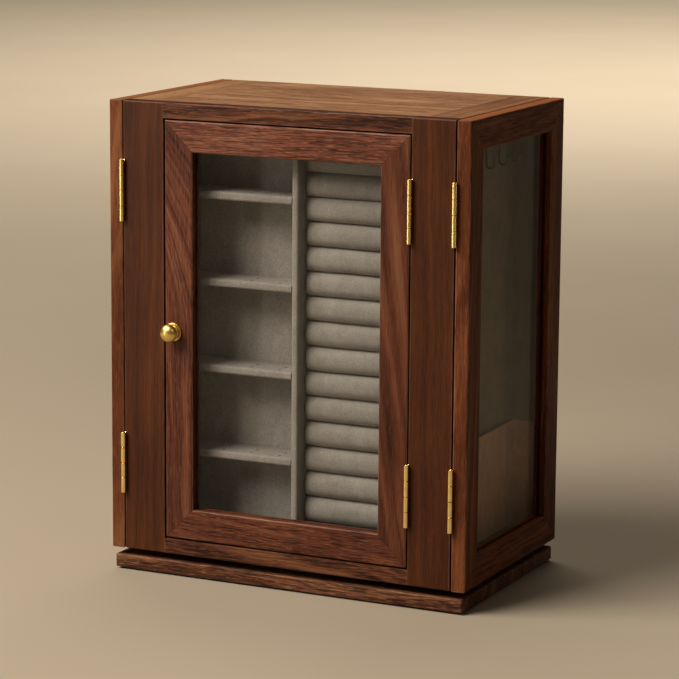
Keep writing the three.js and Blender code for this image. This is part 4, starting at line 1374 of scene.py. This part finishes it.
def disc_across(centre, way):
    """A flat disc let into a face that looks along X, a little proud of it."""
    disc = bmesh.new()
    bmesh.ops.create_cone(
        disc, cap_ends=True, segments=40, radius1=STRIKE_RADIUS, radius2=STRIKE_RADIUS,
        depth=STRIKE_THICK)
    rim = [edge for edge in disc.edges if edge.calc_face_angle() > 1]
    bmesh.ops.bevel(disc, geom=rim, offset=STRIKE_EASE, segments=2, affect="EDGES")
    place = Vector(centre) + Vector((way * (STRIKE_PROUD - STRIKE_THICK / 2), 0, 0))
    disc.transform(Matrix.Translation(place) @ Matrix.Rotation(math.pi / 2, 4, "Y"))
    return disc


for door, stile, way in (("front", "knob", -1), ("left", "free", 1), ("right", "free", -1)):
    low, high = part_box(f"{door}_door_magnet")
    stile_low, stile_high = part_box(f"{door}_door_{stile}_stile")
    face = stile_high.x if way > 0 else stile_low.x
    disc = disc_across((face, (low.y + high.y) / 2, (low.z + high.z) / 2), way)
    add_piece(f"{door}_door_strike", f"{door}_door", disc, nickel)
    print(door, "strike plate at x in mm:", round(face / MM, 2))

# %% [markdown]
# ## Floor and light
#
# A plain floor and six soft boxes, as in a small studio. The main one hangs high on the left in
# front. It makes the front bright, leaves the right side in shade and throws soft shadows under
# each shelf. One overhead lights the lid. Two tall narrow ones stand low on the left and the
# right, where the hinge barrels mirror them as thin bright lines. A weak one on the right reaches
# through the side pane, down to the pocket's foot. The last one shines on the floor behind, and
# the box stands behind its back, so that it lights nothing else. The floor is darker than it looks
# in the picture. A white one would send so much light back up that the deep shadows in the box
# would go grey.

# %% Floor
FLOOR_RADIUS = 16


def pale_floor():
    floor = Finish("pale_floor")
    x, y = floor.place()[:2]
    cloud = floor.noise(x * 0.004, y * 0.004, 0.0, detail=2.0)
    floor.surface({
        "Base Color": floor.blend(cloud, paint("#8f8473"), paint("#958a7a")),
        "Roughness": 0.85,
    })
    return floor.material


circle = bmesh.new()
bmesh.ops.create_circle(circle, cap_ends=True, segments=64, radius=FLOOR_RADIUS)
ground = bpy.data.meshes.new("floor")
circle.to_mesh(ground)
circle.free()
ground.materials.append(pale_floor())
new_object("floor", ground)
print("floor: a disc of", FLOOR_RADIUS, "m radius")

# %% Lights
def soft_box(name, place, aim, size, power, colour):
    """A glowing rectangle at a place, turned towards a point, with its power in watts."""
    lamp = bpy.data.lights.new(name, "AREA")
    lamp.shape, lamp.energy, lamp.color = "RECTANGLE", power, colour
    lamp.size, lamp.size_y = size
    box = new_object(name, lamp)
    box.location = place
    box.rotation_euler = (Vector(aim) - Vector(place)).to_track_quat("-Z", "Y").to_euler()


MIDDLE = (0, 0, 0.15)
WARM_WHITE = (1, 0.94, 0.84)
soft_box("main_light", (-1.35, -1.5, 2.1), MIDDLE, (2.0, 1.2), 140, (1, 0.9, 0.78))
soft_box("lid_light", (-0.4, 0.8, 2.4), (0, 0, 0.25), (1.2, 1.0), 22, (1, 0.92, 0.8))
soft_box("left_strip", (-0.66, -0.8, 0.4), MIDDLE, (0.1, 0.8), 2.6, WARM_WHITE)
soft_box("right_strip", (1.0, 0.2, 0.3), MIDDLE, (0.05, 0.7), 0.3, WARM_WHITE)
soft_box("side_fill", (1.15, -1.0, 1.25), (0, 0, 0.1), (0.9, 0.9), 2.6, (1, 0.8, 0.58))
soft_box("backdrop_light", (-0.6, 3.2, 2.2), (-1.6, 4.9, 0), (2.8, 2.8), 220, (1, 0.92, 0.8))

world = bpy.data.worlds.new("studio")
world.use_nodes = True
glow = world.node_tree.nodes["Background"].inputs
glow["Color"].default_value = (1, 0.66, 0.4, 1)
glow["Strength"].default_value = 0.012
bpy.context.scene.world = world
bpy.context.scene.view_settings.view_transform = "Standard"
print("soft boxes:", len(bpy.data.lights))
